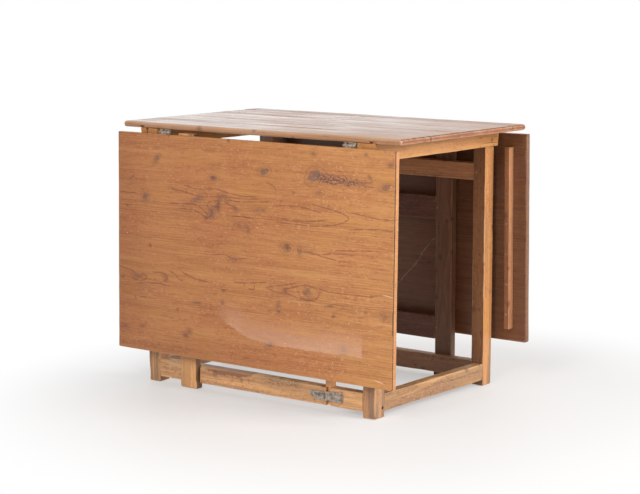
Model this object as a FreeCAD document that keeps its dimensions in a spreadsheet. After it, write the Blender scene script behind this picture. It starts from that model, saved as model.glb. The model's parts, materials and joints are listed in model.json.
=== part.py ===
"""Drop-leaf table on a pegged pine frame, with a folding leaf and a swinging gate on each long side.

Millimetres, +Z up, X along the table, Y across it. The origin is on the floor under the middle of the top.
The frame, its rails and its gates look the same when they are turned half round about the frame's middle.
"""
import FreeCAD, Part
import Sketcher
import os

from FreeCAD import Placement, Rotation, Vector

SIZES = {
    # the top and the two leaves
    "table_height": 750,
    "top_length": 972,
    "top_width": 598,
    "top_thickness": 17,
    "narrow_board_width": 65,
    "top_seam": 0.6,
    "leaf_seam": 0.2,
    "edge_round": 6.5,
    "front_leaf_width": 621,
    "back_leaf_width": 596,
    "leaf_gap": 1,
    "leaf_flare_deg": 1,
    "batten_width": 16,
    "batten_depth": 24,
    "batten_from_end": 43,
    "batten_from_hinge": 38,
    "batten_from_edge": 38,
    # the frame
    "left_overhang": 71,
    "right_overhang": 93,
    "side_overhang": 17,
    "leg_width": 41,
    "leg_depth": 44,
    "bearer_width": 60,
    "bearer_height": 48,
    "bearer_overhang": 8,
    "bearer_end_gap": 3,
    "bearer_end_slope": 6,
    "tongue_width": 17,
    "tongue_height": 6.5,
    "tongue_slope": 2,
    "tongue_end_gap": 8,
    "tongue_end_height": 2.4,
    "groove_clearance": 0.2,
    "rail_thickness": 32,
    "rail_height": 49,
    "rail_below_bearer": 49,
    "stretcher_height": 51,
    "stretcher_bottom": 17,
    "end_stretcher_height": 48,
    "end_stretcher_thickness": 30,
    "tenon_thickness": 12,
    "tenon_length": 20,
    "tenon_shoulder": 5,
    "leg_tenon_width": 25,
    "leg_tenon_depth": 24,
    "leg_tenon_length": 36,
    "split_width": 13,
    "split_from_edge": 18,
    "split_height": 30,
    "split_depth": 35,
    "wear_round": 2,
    "stretcher_wear": 8,
    "peg_radius": 4.5,
    "peg_proud": 1,
    "peg_clearance": 0.05,
    # the gates
    "gate_leg_width": 62,
    "gate_leg_thickness": 24,
    "gate_leg_inset": 132,
    "gate_leg_proud": 13,
    "gate_leg_drop": 8,
    "gate_foot_gap": 1,
    "gate_seat_gap": 0.3,
    "recess_side_gap": 1,
    "gate_pivot_inset": 156,
    "gate_pivot_depth": 12.5,
    "gate_stile_size": 30,
    "gate_stile_foot": 88,
    "gate_stile_head_gap": 2,
    "gate_rail_thickness": 17,
    "gate_rail_height": 67,
    "gate_lower_rail_bottom": 110,
    "gate_rail_below_head": 56,
    "gate_tenon_thickness": 8,
    "gate_tenon_length": 18,
    "gate_tenon_shoulder": 6,
    "gate_peg_radius": 3,
    "foot_shank_size": 15.4,
    "foot_pin_radius": 7.5,
    "foot_pin_end_gap": 2,
    "head_pin_radius": 6,
    "head_pin_length": 34,
    "pin_clearance": 0.08,
    # the iron plate that keeps the gate's foot pin in its notch
    "plate_thickness": 2.5,
    "plate_height": 28,
    "plate_rise": 13,
    "plate_behind": 51,
    "plate_ahead": 67,
    "plate_tip": 24,
    "plate_slope": 8,
    "plate_round": 7,
    "nail_radius": 2,
    "nail_length": 16,
    "nail_head_radius": 4,
    "nail_head_height": 1.6,
    # the iron hinges
    "left_hinge_gap": 14,
    "right_hinge_gap": 2,
    "hinge_length": 40,
    "hinge_reach": 48,
    "hinge_far_screw": 38.4,
    "hinge_start": 4,
    "hinge_thickness": 3,
    "hinge_drop": 9.3,
    "hinge_offset": 3.4,
    "barrel_radius": 5.5,
    "barrel_gap": 0.3,
    "neck_gap": 0.5,
    "hinge_pin_radius": 2.5,
    "hinge_pin_proud": 1.5,
    "hinge_pin_clearance": 0.05,
    "screw_radius": 2,
    "screw_length": 12,
    "screw_head_radius": 4,
    "screw_head_height": 1.2,
    "screw_clearance": 0.05,
    "batten_screw_length": 34,
    "screw_end_gap": 1,
}
TOP_WIDE_BOARDS = 4
LEAF_BOARDS = 3
SCREWS_PER_BATTEN = 6
CUT_PAST = 1  # how far a cut runs on past the face that it opens
NEAR = 0.01  # how close two lines are when they count as one
STRAIGHT = 0.99  # the least share of a direction along an axis when it counts as that axis

doc = FreeCAD.newDocument("DropLeafTable")
sheet = doc.addObject("Spreadsheet::Sheet", "Sizes")
for row, (alias, number) in enumerate(SIZES.items(), start=1):
    sheet.set(f"A{row}", str(number))
    sheet.setAlias(f"A{row}", alias)
doc.recompute()


class Size:
    """A length: an expression over the sheet's cells, with its present value beside it."""

    def __init__(self, text, value):
        self.text = text
        self.value = value

    def join(self, sign, other, value):
        return Size(f"({self.text} {sign} {other.text})", value)

    def __add__(self, other):
        other = size_of(other)
        return self.join("+", other, self.value + other.value)

    def __sub__(self, other):
        other = size_of(other)
        return self.join("-", other, self.value - other.value)

    def __mul__(self, other):
        other = size_of(other)
        return self.join("*", other, self.value * other.value)

    def __truediv__(self, other):
        other = size_of(other)
        return self.join("/", other, self.value / other.value)

    def __radd__(self, other):
        return size_of(other) + self

    def __rsub__(self, other):
        return size_of(other) - self

    def __rmul__(self, other):
        return size_of(other) * self

    def __neg__(self):
        return Size(f"(-1 * {self.text})", -self.value)


def size_of(number):
    """A plain number as a Size, and a Size as it is."""
    return number if isinstance(number, Size) else Size(repr(float(number)), float(number))


def cell(alias):
    """The Size that the sheet's cell of this alias holds."""
    return Size(f"Sizes.{alias}", float(sheet.get(alias)))


def span(low, high, side):
    """The range low to high, or its mirror image when side is -1."""
    return (low, high) if side > 0 else (-high, -low)


AXIS_TURN = {
    "x": Rotation(Vector(0, 1, 0), 90),
    "y": Rotation(Vector(1, 0, 0), -90),
    "z": Rotation(),
}


class Piece:
    """One piece of the table: a body whose features are built up in turn."""

    def __init__(self, label):
        self.body = doc.addObject("PartDesign::Body", label)
        self.body.Label = label

    def box(self, kind, x, y, z):
        """Add or cut a box between the low and high end on each axis."""
        feature = self.body.newObject(f"PartDesign::{kind}Box", f"{self.body.Name}_box")
        for axis, side, (low, high) in zip("xyz", ("Length", "Width", "Height"), (x, y, z)):
            low = size_of(low)
            feature.setExpression(side, (high - low).text)
            feature.setExpression(f"Placement.Base.{axis}", low.text)
        return feature

    def add(self, x, y, z):
        return self.box("Additive", x, y, z)

    def cut(self, x, y, z):
        return self.box("Subtractive", x, y, z)

    def cylinder(self, kind, axis, reach, radius, centre):
        """Add or cut a round along one axis, over its reach, centred on the other two axes."""
        low, high = reach
        feature = self.body.newObject(f"PartDesign::{kind}Cylinder", f"{self.body.Name}_round")
        feature.Placement = Placement(Vector(), AXIS_TURN[axis])
        feature.setExpression("Radius", radius.text)
        feature.setExpression("Height", (high - low).text)
        others = [name for name in "xyz" if name != axis]
        feature.setExpression(f"Placement.Base.{axis}", size_of(low).text)
        for name, where in zip(others, centre):
            feature.setExpression(f"Placement.Base.{name}", size_of(where).text)
        return feature

    def rod(self, axis, reach, radius, centre):
        return self.cylinder("Additive", axis, reach, radius, centre)

    def bore(self, axis, reach, radius, centre):
        return self.cylinder("Subtractive", axis, reach, radius, centre)

    def outline(self, plane, points):
        """A closed sketch on one of the body's own planes, each corner held from the origin."""
        sketch = self.body.newObject("Sketcher::SketchObject", f"{self.body.Name}_sketch")
        face = next(item for item in self.body.Origin.OriginFeatures if item.Role == f"{plane}_Plane")
        sketch.AttachmentSupport = [(face, "")]
        sketch.MapMode = "FlatFace"
        corners = [Vector(size_of(u).value, size_of(v).value, 0) for u, v in points]
        for start, end in zip(corners, corners[1:] + corners[:1]):
            sketch.addGeometry(Part.LineSegment(start, end), False)
        for index, (u, v) in enumerate(points):
            following = (index + 1) % len(points)
            sketch.addConstraint(Sketcher.Constraint("Coincident", index, 2, following, 1))
            for kind, where in (("DistanceX", size_of(u)), ("DistanceY", size_of(v))):
                held = Sketcher.Constraint(kind, -1, 1, index, 1, where.value)
                number = sketch.addConstraint(held)
                sketch.setExpression(f"Constraints[{number}]", where.text)
        return sketch

    def pad(self, sketch, start, length):
        """Raise the sketch by length, from start along its plane's normal."""
        sketch.setExpression("AttachmentOffset.Base.z", size_of(start).text)
        feature = self.body.newObject("PartDesign::Pad", f"{self.body.Name}_pad")
        feature.Profile = sketch
        feature.setExpression("Length", length.text)
        return feature

    def pocket(self, sketch, start, length):
        """Cut the sketch away by length, from start against its plane's normal."""
        sketch.setExpression("AttachmentOffset.Base.z", size_of(start).text)
        feature = self.body.newObject("PartDesign::Pocket", f"{self.body.Name}_pocket")
        feature.Profile = sketch
        feature.setExpression("Length", length.text)
        return feature

    def round_edges(self, radius, chosen):
        """Round each edge of the last feature for which chosen(edge's middle, its direction) is true."""
        doc.recompute()
        base = self.body.Tip
        names = []
        for number, edge in enumerate(base.Shape.Edges, start=1):
            if edge.Curve.TypeId == "Part::GeomLine" and chosen(edge.CenterOfMass, edge.Curve.Direction):
                names.append(f"Edge{number}")
        feature = self.body.newObject("PartDesign::Fillet", f"{self.body.Name}_round_edges")
        feature.Base = (base, names)
        feature.setExpression("Radius", radius.text)
        return feature

    def place(self, placement):
        self.body.Placement = placement
        pieces.append(self.body)


pieces = []

# ---------------------------------------------------------------- lines that several pieces share
height = cell("table_height")
top_thickness = cell("top_thickness")
half_length = cell("top_length") / 2
half_width = cell("top_width") / 2
underside = height - top_thickness

frame_x = half_length - (cell("left_overhang") + cell("right_overhang")) / 2
frame_y = half_width - cell("side_overhang")
frame_shift = (cell("left_overhang") - cell("right_overhang")) / 2
leg_in_x = frame_x - cell("leg_width")
leg_in_y = frame_y - cell("leg_depth")
bearer_bottom = underside - cell("bearer_height")
bearer_out = frame_x + cell("bearer_overhang")
bearer_in = bearer_out - cell("bearer_width")
bearer_end = half_width - cell("bearer_end_gap")
tongue_middle = bearer_out - cell("tongue_width") / 2

rail_in = frame_y - cell("rail_thickness")
rail_top = bearer_bottom - cell("rail_below_bearer")
rail_bottom = rail_top - cell("rail_height")
stretcher_bottom = cell("stretcher_bottom")
stretcher_top = stretcher_bottom + cell("stretcher_height")
end_stretcher_top = stretcher_bottom + cell("end_stretcher_height")
end_stretcher_in = frame_x - cell("end_stretcher_thickness")

tenon = cell("tenon_thickness")
tenon_length = cell("tenon_length")
shoulder = cell("tenon_shoulder")
rail_tenon_y = (frame_y - 2 * shoulder - tenon, frame_y - 2 * shoulder)
end_tenon_x = (frame_x - 2 * shoulder - tenon, frame_x - 2 * shoulder)
leg_tenon_x = (
    (leg_in_x + frame_x - cell("leg_tenon_width")) / 2,
    (leg_in_x + frame_x + cell("leg_tenon_width")) / 2,
)
leg_tenon_y = (
    (leg_in_y + frame_y - cell("leg_tenon_depth")) / 2,
    (leg_in_y + frame_y + cell("leg_tenon_depth")) / 2,
)
leg_tenon_top = bearer_bottom + cell("leg_tenon_length")
leg_peg_y = (leg_in_y + frame_y) / 2
leg_peg_z = (bearer_bottom + leg_tenon_top) / 2
rail_peg_x = leg_in_x + tenon_length / 2
rail_peg_z = (rail_bottom + rail_top) / 2
peg_radius = cell("peg_radius")
peg_hole = peg_radius + cell("peg_clearance")

gate_out = frame_y + cell("gate_leg_proud")
gate_in = gate_out - cell("gate_leg_thickness")
gate_leg_outer = frame_x - cell("gate_leg_inset")
gate_leg_inner = gate_leg_outer - cell("gate_leg_width")
gate_top = underside - cell("gate_leg_drop")
recess_in = gate_in - cell("gate_seat_gap")
pivot_x = frame_x - cell("gate_pivot_inset")
pivot_y = frame_y - cell("gate_pivot_depth")
stile_half = cell("gate_stile_size") / 2
stile_foot = cell("gate_stile_foot")
stile_head = rail_bottom - cell("gate_stile_head_gap")
gate_rail_bottoms = {
    "lower": cell("gate_lower_rail_bottom"),
    "upper": stile_head - cell("gate_rail_below_head") - cell("gate_rail_height"),
}
gate_rail_y = (gate_in, gate_in + cell("gate_rail_thickness"))
stile_y = (gate_rail_y[1] - cell("gate_stile_size"), gate_rail_y[1])
gate_tenon_y = (
    (gate_rail_y[0] + gate_rail_y[1] - cell("gate_tenon_thickness")) / 2,
    (gate_rail_y[0] + gate_rail_y[1] + cell("gate_tenon_thickness")) / 2,
)
gate_tenon_length = cell("gate_tenon_length")
gate_peg_hole = cell("gate_peg_radius") + cell("peg_clearance")
foot_pin_hole = cell("foot_pin_radius") + cell("pin_clearance")
head_pin_hole = cell("head_pin_radius") + cell("pin_clearance")
shank_bottom = stretcher_top + cell("gate_seat_gap")
shank_half = cell("foot_shank_size") / 2

hinge_drop = cell("hinge_drop")
hinge_offset = cell("hinge_offset")
pivot_height = underside - hinge_drop
hinge_line_y = half_width + cell("leaf_gap") - hinge_offset
flare = cell("leaf_flare_deg")
barrel = cell("barrel_radius")
half_hinge = cell("hinge_length") / 2
knuckle_end = cell("hinge_length") / 4
screw_hole = cell("screw_radius") + cell("screw_clearance")
nail_hole = cell("nail_radius") + cell("screw_clearance")
hinge_screw_points = (
    (-half_hinge / 2, cell("hinge_reach") / 2),
    (half_hinge / 2, cell("hinge_reach") / 2),
    (size_of(0), cell("hinge_far_screw")),
)

LEFT, RIGHT = -1, 1
ENDS = {"left": LEFT, "right": RIGHT}
SIDES = {"front": 0, "back": 180}
leaf_width = {"front": cell("front_leaf_width"), "back": cell("back_leaf_width")}


def frame_place(turn=0):
    """The frame's middle on the floor, turned half round for the pieces of the back."""
    return Placement(Vector(frame_shift.value, 0, 0), Rotation(Vector(0, 0, 1), turn))


def hinge_place(side, x, swing):
    """The hinge line of one side at x along it: y points out of the table, z to the leaf's upper face.

    swing is how far the leaf hangs down from level, in degrees.
    """
    turn = Rotation(Vector(0, 0, 1), SIDES["back"] - SIDES[side])
    line = turn.multVec(Vector(x, hinge_line_y.value, 0)) + Vector(0, 0, pivot_height.value)
    return Placement(line, turn.multiply(Rotation(Vector(1, 0, 0), -swing)))


def leaf_place(side, x=0.0):
    """The hanging leaf's own frame on its hinge line."""
    return hinge_place(side, x, 90 - flare.value)


def hinge_xs():
    """Where the two hinges of a side stand along the table, each inside its bearer."""
    return {
        name: frame_shift + end * (bearer_in - cell(f"{name}_hinge_gap") - half_hinge)
        for name, end in ENDS.items()
    }


def own_x(side, x):
    """A place along the table in the hinge line's own x, which runs the other way on the front."""
    return x if side == "back" else -x


def along(direction, axis):
    """True if a line of this direction runs along the axis named."""
    return abs(getattr(direction, axis)) > STRAIGHT


def is_corner(middle, y, z):
    """True if an edge along X has its middle at this depth and height."""
    return abs(middle.y - y.value) < NEAR and abs(middle.z - z.value) < NEAR


# ---------------------------------------------------------------- the top
def dovetail(end, rise, clearance=0):
    """The section of a tongue or groove that rises from the underside of the top, in X and Z."""
    middle = end * tongue_middle
    foot = cell("tongue_width") / 2 - cell("tongue_slope") + clearance
    head = foot + cell("tongue_slope") * rise / cell("tongue_height")
    return [
        (middle - foot, underside),
        (middle + foot, underside),
        (middle + head, underside + rise),
        (middle - head, underside + rise),
    ]


def top_board(number, low, high, outer_sides):
    """One board of the top, its ends and any outer side rounded, grooved under for both bearers."""
    board = Piece(f"top_board_{number}")
    board.add((-half_length, half_length), (low, high), (underside, height))

    def on_outline(middle, direction):
        at_end = abs(abs(middle.x) - half_length.value) < NEAR and along(direction, "y")
        at_side = along(direction, "x") and any(abs(middle.y - side.value) < NEAR for side in outer_sides)
        return at_end or at_side

    board.round_edges(cell("edge_round"), on_outline)
    for end in ENDS.values():
        clearance = cell("groove_clearance")
        section = dovetail(end, cell("tongue_height") + clearance, clearance)
        points = [(x + frame_shift, z) for x, z in section]
        board.pocket(board.outline("XZ", points), half_width, 2 * half_width)
    for side, sign in (("front", -1), ("back", 1)):
        if low.value < sign * (half_width.value - cell("hinge_reach").value) < high.value:
            hinge_holes(board, sign)
    board.place(Placement())


def hinge_holes(board, sign):
    """Pilot holes under an outer board for the screws of its two hinges."""
    for x in hinge_xs().values():
        for along_hinge, from_line in hinge_screw_points:
            centre = (x + along_hinge, sign * (hinge_line_y - from_line))
            reach = (underside - cell("hinge_thickness"), underside + cell("screw_length"))
            board.bore("z", reach, screw_hole, centre)


def build_top():
    seam = cell("top_seam")
    narrow = cell("narrow_board_width")
    wide = (cell("top_width") - narrow - TOP_WIDE_BOARDS * seam) / TOP_WIDE_BOARDS
    low = -half_width
    for number in range(1, TOP_WIDE_BOARDS + 1):
        top_board(number, low, low + wide, [-half_width] if number == 1 else [])
        low = low + wide + seam
    top_board(TOP_WIDE_BOARDS + 1, low, half_width, [half_width])


# ---------------------------------------------------------------- the frame
def bearer(name, end):
    """The end beam under the top: sloping ends, a dovetail tongue above, mortises for two legs below.

    The tongue is cut down at its ends, and the left beam has split at the front.
    """
    beam = Piece(f"{name}_bearer")
    low = bearer_end - cell("bearer_end_slope")
    shape = [(-low, bearer_bottom), (low, bearer_bottom), (bearer_end, underside), (-bearer_end, underside)]
    start, stop = span(bearer_in, bearer_out, end)
    beam.pad(beam.outline("YZ", shape), start, stop - start)
    beam.round_edges(cell("wear_round"), lambda middle, _: middle.z < bearer_bottom.value + NEAR)
    full_end = bearer_end - cell("tongue_end_gap")
    for reach, rise in ((full_end, cell("tongue_height")), (bearer_end, cell("tongue_end_height"))):
        beam.pad(beam.outline("XZ", dovetail(end, rise)), -reach, 2 * reach)
    for side in (LEFT, RIGHT):
        beam.cut(
            span(*leg_tenon_x, end), span(*leg_tenon_y, side), (bearer_bottom, leg_tenon_top)
        )
        beam.bore("x", (start - CUT_PAST, stop + CUT_PAST), peg_hole, (side * leg_peg_y, leg_peg_z))
    if end == LEFT:
        edge = -bearer_out + cell("split_from_edge")
        wedge = [
            (edge, underside + CUT_PAST),
            (edge + cell("split_width") / 2, underside - cell("split_height")),
            (edge + cell("split_width"), underside + CUT_PAST),
        ]
        beam.pocket(beam.outline("XZ", wedge), bearer_end, cell("split_depth"))
    beam.place(frame_place())


def leg(name, end, side):
    """A leg: a pegged tenon into its bearer, mortises for its rail and its two stretchers."""
    post = Piece(f"{name}_leg")
    post.add(span(leg_in_x, frame_x, end), span(leg_in_y, frame_y, side), (size_of(0), bearer_bottom))
    post.round_edges(cell("wear_round"), lambda _, direction: along(direction, "z"))
    post.add(span(*leg_tenon_x, end), span(*leg_tenon_y, side), (bearer_bottom, leg_tenon_top))
    long_tenon = span(leg_in_x, leg_in_x + tenon_length, end)
    rail_y = span(*rail_tenon_y, side)
    post.cut(long_tenon, rail_y, (rail_bottom + shoulder, rail_top - shoulder))
    post.cut(long_tenon, rail_y, (stretcher_bottom + shoulder, stretcher_top - shoulder))
    short_tenon = span(leg_in_y, leg_in_y + tenon_length, side)
    height_range = (stretcher_bottom + shoulder, end_stretcher_top - shoulder)
    post.cut(span(*end_tenon_x, end), short_tenon, height_range)
    peg_reach = (-frame_x, frame_x)
    post.bore("x", peg_reach, peg_hole, (side * leg_peg_y, leg_peg_z))
    across = span(leg_in_y - CUT_PAST, frame_y + CUT_PAST, side)
    post.bore("y", across, peg_hole, (end * rail_peg_x, rail_peg_z))
    post.place(frame_place())


def long_member(label, bottom, top, outer_round):
    """A rail or stretcher of the front, with tenons into two legs and a recess for the gate's leg.

    outer_round is how far the outer upper edge is worn down.
    """
    member = Piece(label)
    member.add((-leg_in_x, leg_in_x), (-frame_y, -rail_in), (bottom, top))
    member.round_edges(outer_round, lambda middle, _: is_corner(middle, -frame_y, top))
    others = [(-frame_y, bottom), (-rail_in, bottom), (-rail_in, top)]
    member.round_edges(
        cell("wear_round"),
        lambda middle, _: any(is_corner(middle, *line) for line in others),
    )
    tenon_y = (-rail_tenon_y[1], -rail_tenon_y[0])
    for end in ENDS.values():
        reach = span(leg_in_x, leg_in_x + tenon_length, end)
        member.add(reach, tenon_y, (bottom + shoulder, top - shoulder))
    gap = cell("recess_side_gap")
    recess_x = (-gate_leg_outer - gap, -gate_leg_inner + gap)
    member.cut(recess_x, (-frame_y - CUT_PAST, -recess_in), (bottom - CUT_PAST, top + CUT_PAST))
    return member


def upper_rail(side):
    """The rail between the legs, bored from below for the gate's head pin."""
    rail = long_member(f"{side}_upper_rail", rail_bottom, rail_top, cell("wear_round"))
    for end in ENDS.values():
        across = (-frame_y - CUT_PAST, -rail_in + CUT_PAST)
        rail.bore("y", across, peg_hole, (end * rail_peg_x, rail_peg_z))
    depth = cell("head_pin_length") + cell("gate_seat_gap")
    rail.bore("z", (rail_bottom - CUT_PAST, rail_bottom + depth), head_pin_hole, (pivot_x, -pivot_y))
    rail.place(frame_place(SIDES[side]))


def plate_nail_points():
    """The keeper plate's nails, in X and Z: one at the tip and two at the blunt end."""
    middle = stretcher_bottom + cell("plate_rise") + cell("plate_height") / 2
    quarter = cell("plate_height") / 4
    far = pivot_x + cell("plate_behind") - quarter
    return [
        (pivot_x - cell("plate_ahead") + cell("plate_tip"), middle),
        (far, middle + quarter),
        (far, middle - quarter),
    ]


def stretcher(side):
    """The low stretcher, with an open notch that the gate's foot pin turns in."""
    bar = long_member(f"{side}_stretcher", stretcher_bottom, stretcher_top, cell("stretcher_wear"))
    notch_x = (pivot_x - foot_pin_hole, pivot_x + foot_pin_hole)
    through = (stretcher_bottom - CUT_PAST, stretcher_top + CUT_PAST)
    bar.cut(notch_x, (-frame_y - CUT_PAST, -pivot_y), through)
    bar.bore("z", through, foot_pin_hole, (pivot_x, -pivot_y))
    for x, z in plate_nail_points():
        bar.bore("y", (-frame_y - CUT_PAST, -frame_y + cell("nail_length")), nail_hole, (x, z))
    bar.place(frame_place(SIDES[side]))


def keeper_plate(side):
    """The wrought plate over the notch: one end drawn to a point, the other blunt and rounded."""
    plate = Piece(f"{side}_keeper_plate")
    low = stretcher_bottom + cell("plate_rise")
    high = low + cell("plate_height")
    start = pivot_x - cell("plate_ahead")
    stop = pivot_x + cell("plate_behind")
    points = [
        (start, high - cell("plate_slope")),
        (start + cell("plate_tip"), low),
        (stop, low),
        (stop, high),
        (start + cell("plate_tip") / 2, high - cell("plate_slope") / 2),
    ]
    plate.pad(plate.outline("XZ", points), frame_y, cell("plate_thickness"))
    plate.round_edges(
        cell("plate_round"),
        lambda middle, direction: along(direction, "y") and middle.x > stop.value - NEAR,
    )
    through = (-frame_y - cell("plate_thickness") - CUT_PAST, -frame_y + CUT_PAST)
    for x, z in plate_nail_points():
        plate.bore("y", through, nail_hole, (x, z))
    plate.place(frame_place(SIDES[side]))


def keeper_nails(side):
    """The three rose-headed nails of a keeper plate."""
    nails = []
    face = -frame_y - cell("plate_thickness")
    for x, z in plate_nail_points():
        nail = doc.addObject("Part::Fuse", f"{side}_keeper_nail")
        nail.Base = primitive_rod("y", (face, -frame_y + cell("nail_length")), cell("nail_radius"), (x, z))
        head = (face - cell("nail_head_height"), face)
        nail.Tool = primitive_rod("y", head, cell("nail_head_radius"), (x, z))
        nails.append(nail)
    group(f"{side}_keeper_nails", nails, frame_place(SIDES[side]))


def end_stretcher(name, end):
    """The low stretcher between the two legs of an end."""
    bar = Piece(f"{name}_end_stretcher")
    height_range = (stretcher_bottom, end_stretcher_top)
    bar.add(span(end_stretcher_in, frame_x, end), (-leg_in_y, leg_in_y), height_range)
    bar.round_edges(cell("wear_round"), lambda _, direction: along(direction, "y"))
    for side in (LEFT, RIGHT):
        reach = span(leg_in_y, leg_in_y + tenon_length, side)
        bar.add(span(*end_tenon_x, end), reach, (stretcher_bottom + shoulder, end_stretcher_top - shoulder))
    bar.place(frame_place())


def primitive_rod(axis, reach, radius, centre):
    """A round bar made of a plain cylinder, along one axis."""
    low, high = reach
    rod = doc.addObject("Part::Cylinder", "rod")
    rod.Placement = Placement(Vector(), AXIS_TURN[axis])
    rod.setExpression("Radius", radius.text)
    rod.setExpression("Height", (high - low).text)
    rod.setExpression(f"Placement.Base.{axis}", size_of(low).text)
    for name, where in zip([name for name in "xyz" if name != axis], centre):
        rod.setExpression(f"Placement.Base.{name}", size_of(where).text)
    return rod


def group(label, members, placement):
    """Several like pieces that stay separate solids under one name."""
    bundle = doc.addObject("Part::Compound", label)
    bundle.Label = label
    bundle.Links = members
    bundle.Placement = placement
    pieces.append(bundle)


def build_frame():
    for name, end in ENDS.items():
        bearer(name, end)
        end_stretcher(name, end)
        for side_name, side in (("front", LEFT), ("back", RIGHT)):
            leg(f"{side_name}_{name}", end, side)
    for side in SIDES:
        upper_rail(side)
        stretcher(side)
        keeper_plate(side)
        keeper_nails(side)
    leg_pegs = []
    rail_pegs = []
    for end in ENDS.values():
        for side in (LEFT, RIGHT):
            proud = cell("peg_proud")
            through = span(bearer_in, bearer_out + proud, end)
            leg_pegs.append(primitive_rod("x", through, peg_radius, (side * leg_peg_y, leg_peg_z)))
            across = span(leg_in_y, frame_y + proud, side)
            rail_pegs.append(primitive_rod("y", across, peg_radius, (end * rail_peg_x, rail_peg_z)))
    group("leg_pegs", leg_pegs, frame_place())
    group("rail_pegs", rail_pegs, frame_place())


# ---------------------------------------------------------------- the gates
def gate_tenon_heights():
    """The height range of each gate rail's tenons, lower rail first."""
    inset = cell("gate_tenon_shoulder")
    ranges = []
    for bottom in gate_rail_bottoms.values():
        ranges.append((bottom + inset, bottom + cell("gate_rail_height") - inset))
    return ranges


def gate_peg_points():
    """The pegs through the gate's four tenons, in X and Z."""
    half = gate_tenon_length / 2
    stile_side = pivot_x - stile_half
    points = []
    for low, high in gate_tenon_heights():
        points.append((-gate_leg_inner - half, (low + high) / 2))
        points.append((stile_side + half, (low + high) / 2))
    return points


def gate_leg(side):
    """The flat swinging leg, mortised for its two rails."""
    post = Piece(f"{side}_gate_leg")
    post.add((-gate_leg_outer, -gate_leg_inner), (-gate_out, -gate_in), (cell("gate_foot_gap"), gate_top))
    post.round_edges(cell("wear_round"), lambda _, direction: along(direction, "z"))
    tenon_y = (-gate_tenon_y[1], -gate_tenon_y[0])
    for heights in gate_tenon_heights():
        post.cut((-gate_leg_inner - gate_tenon_length, -gate_leg_inner), tenon_y, heights)
    for x, z in gate_peg_points()[0::2]:
        post.bore("y", (-gate_out - CUT_PAST, -gate_in + CUT_PAST), gate_peg_hole, (x, z))
    post.place(frame_place(SIDES[side]))


def gate_stile(side):
    """The upright that the gate turns on: a round pin at its head, a square shank and a round pin below."""
    post = Piece(f"{side}_gate_stile")
    near = pivot_x - stile_half
    post.add((near, pivot_x + stile_half), (-stile_y[1], -stile_y[0]), (stile_foot, stile_head))
    post.round_edges(cell("wear_round"), lambda _, direction: along(direction, "z"))
    centre = (pivot_x, -pivot_y)
    shank_x = (pivot_x - shank_half, pivot_x + shank_half)
    shank_y = (-pivot_y - shank_half, -pivot_y + shank_half)
    post.add(shank_x, shank_y, (shank_bottom, stile_foot))
    foot = stretcher_bottom + cell("foot_pin_end_gap")
    post.rod("z", (foot, shank_bottom), cell("foot_pin_radius"), centre)
    post.rod("z", (stile_head, rail_bottom + cell("head_pin_length")), cell("head_pin_radius"), centre)
    tenon_y = (-gate_tenon_y[1], -gate_tenon_y[0])
    for heights in gate_tenon_heights():
        post.cut((near, near + gate_tenon_length), tenon_y, heights)
    for x, z in gate_peg_points()[1::2]:
        post.bore("y", (-stile_y[1] - CUT_PAST, -stile_y[0] + CUT_PAST), gate_peg_hole, (x, z))
    post.place(frame_place(SIDES[side]))


def gate_rail(side, name, bottom, heights):
    """A rail between the gate's leg and its stile."""
    rail = Piece(f"{side}_gate_{name}_rail")
    near, far = -gate_leg_inner, pivot_x - stile_half
    rail.add((near, far), (-gate_rail_y[1], -gate_rail_y[0]), (bottom, bottom + cell("gate_rail_height")))
    rail.round_edges(cell("wear_round"), lambda _, direction: along(direction, "x"))
    tenon_y = (-gate_tenon_y[1], -gate_tenon_y[0])
    rail.add((near - gate_tenon_length, near), tenon_y, heights)
    rail.add((far, far + gate_tenon_length), tenon_y, heights)
    for x, z in gate_peg_points():
        if heights[0].value < z.value < heights[1].value:
            across = (-gate_rail_y[1] - CUT_PAST, -gate_rail_y[0] + CUT_PAST)
            rail.bore("y", across, gate_peg_hole, (x, z))
    rail.place(frame_place(SIDES[side]))


def gate_pegs(side):
    """The four pegs of a gate."""
    pegs = []
    for number, (x, z) in enumerate(gate_peg_points()):
        reach = (-gate_out, -gate_in) if number % 2 == 0 else (-stile_y[1], -stile_y[0])
        pegs.append(primitive_rod("y", reach, cell("gate_peg_radius"), (x, z)))
    group(f"{side}_gate_pegs", pegs, frame_place(SIDES[side]))


def build_gates():
    for side in SIDES:
        gate_leg(side)
        gate_stile(side)
        for (name, bottom), heights in zip(gate_rail_bottoms.items(), gate_tenon_heights()):
            gate_rail(side, name, bottom, heights)
        gate_pegs(side)


# ---------------------------------------------------------------- the leaves
def batten_span(side, name):
    """A batten's range in the leaf's own x."""
    outer = half_length - cell("batten_from_end")
    return span(outer - cell("batten_width"), outer, own_x(side, ENDS[name]))


def batten_screw_points(side, name):
    """The screws of one batten, in the leaf's own X and Y."""
    low, high = batten_span(side, name)
    first = hinge_offset + cell("batten_from_hinge")
    last = hinge_offset + leaf_width[side] - cell("batten_from_edge")
    step = (last - first) / SCREWS_PER_BATTEN
    return [((low + high) / 2, first + step * (number + 0.5)) for number in range(SCREWS_PER_BATTEN)]


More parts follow.
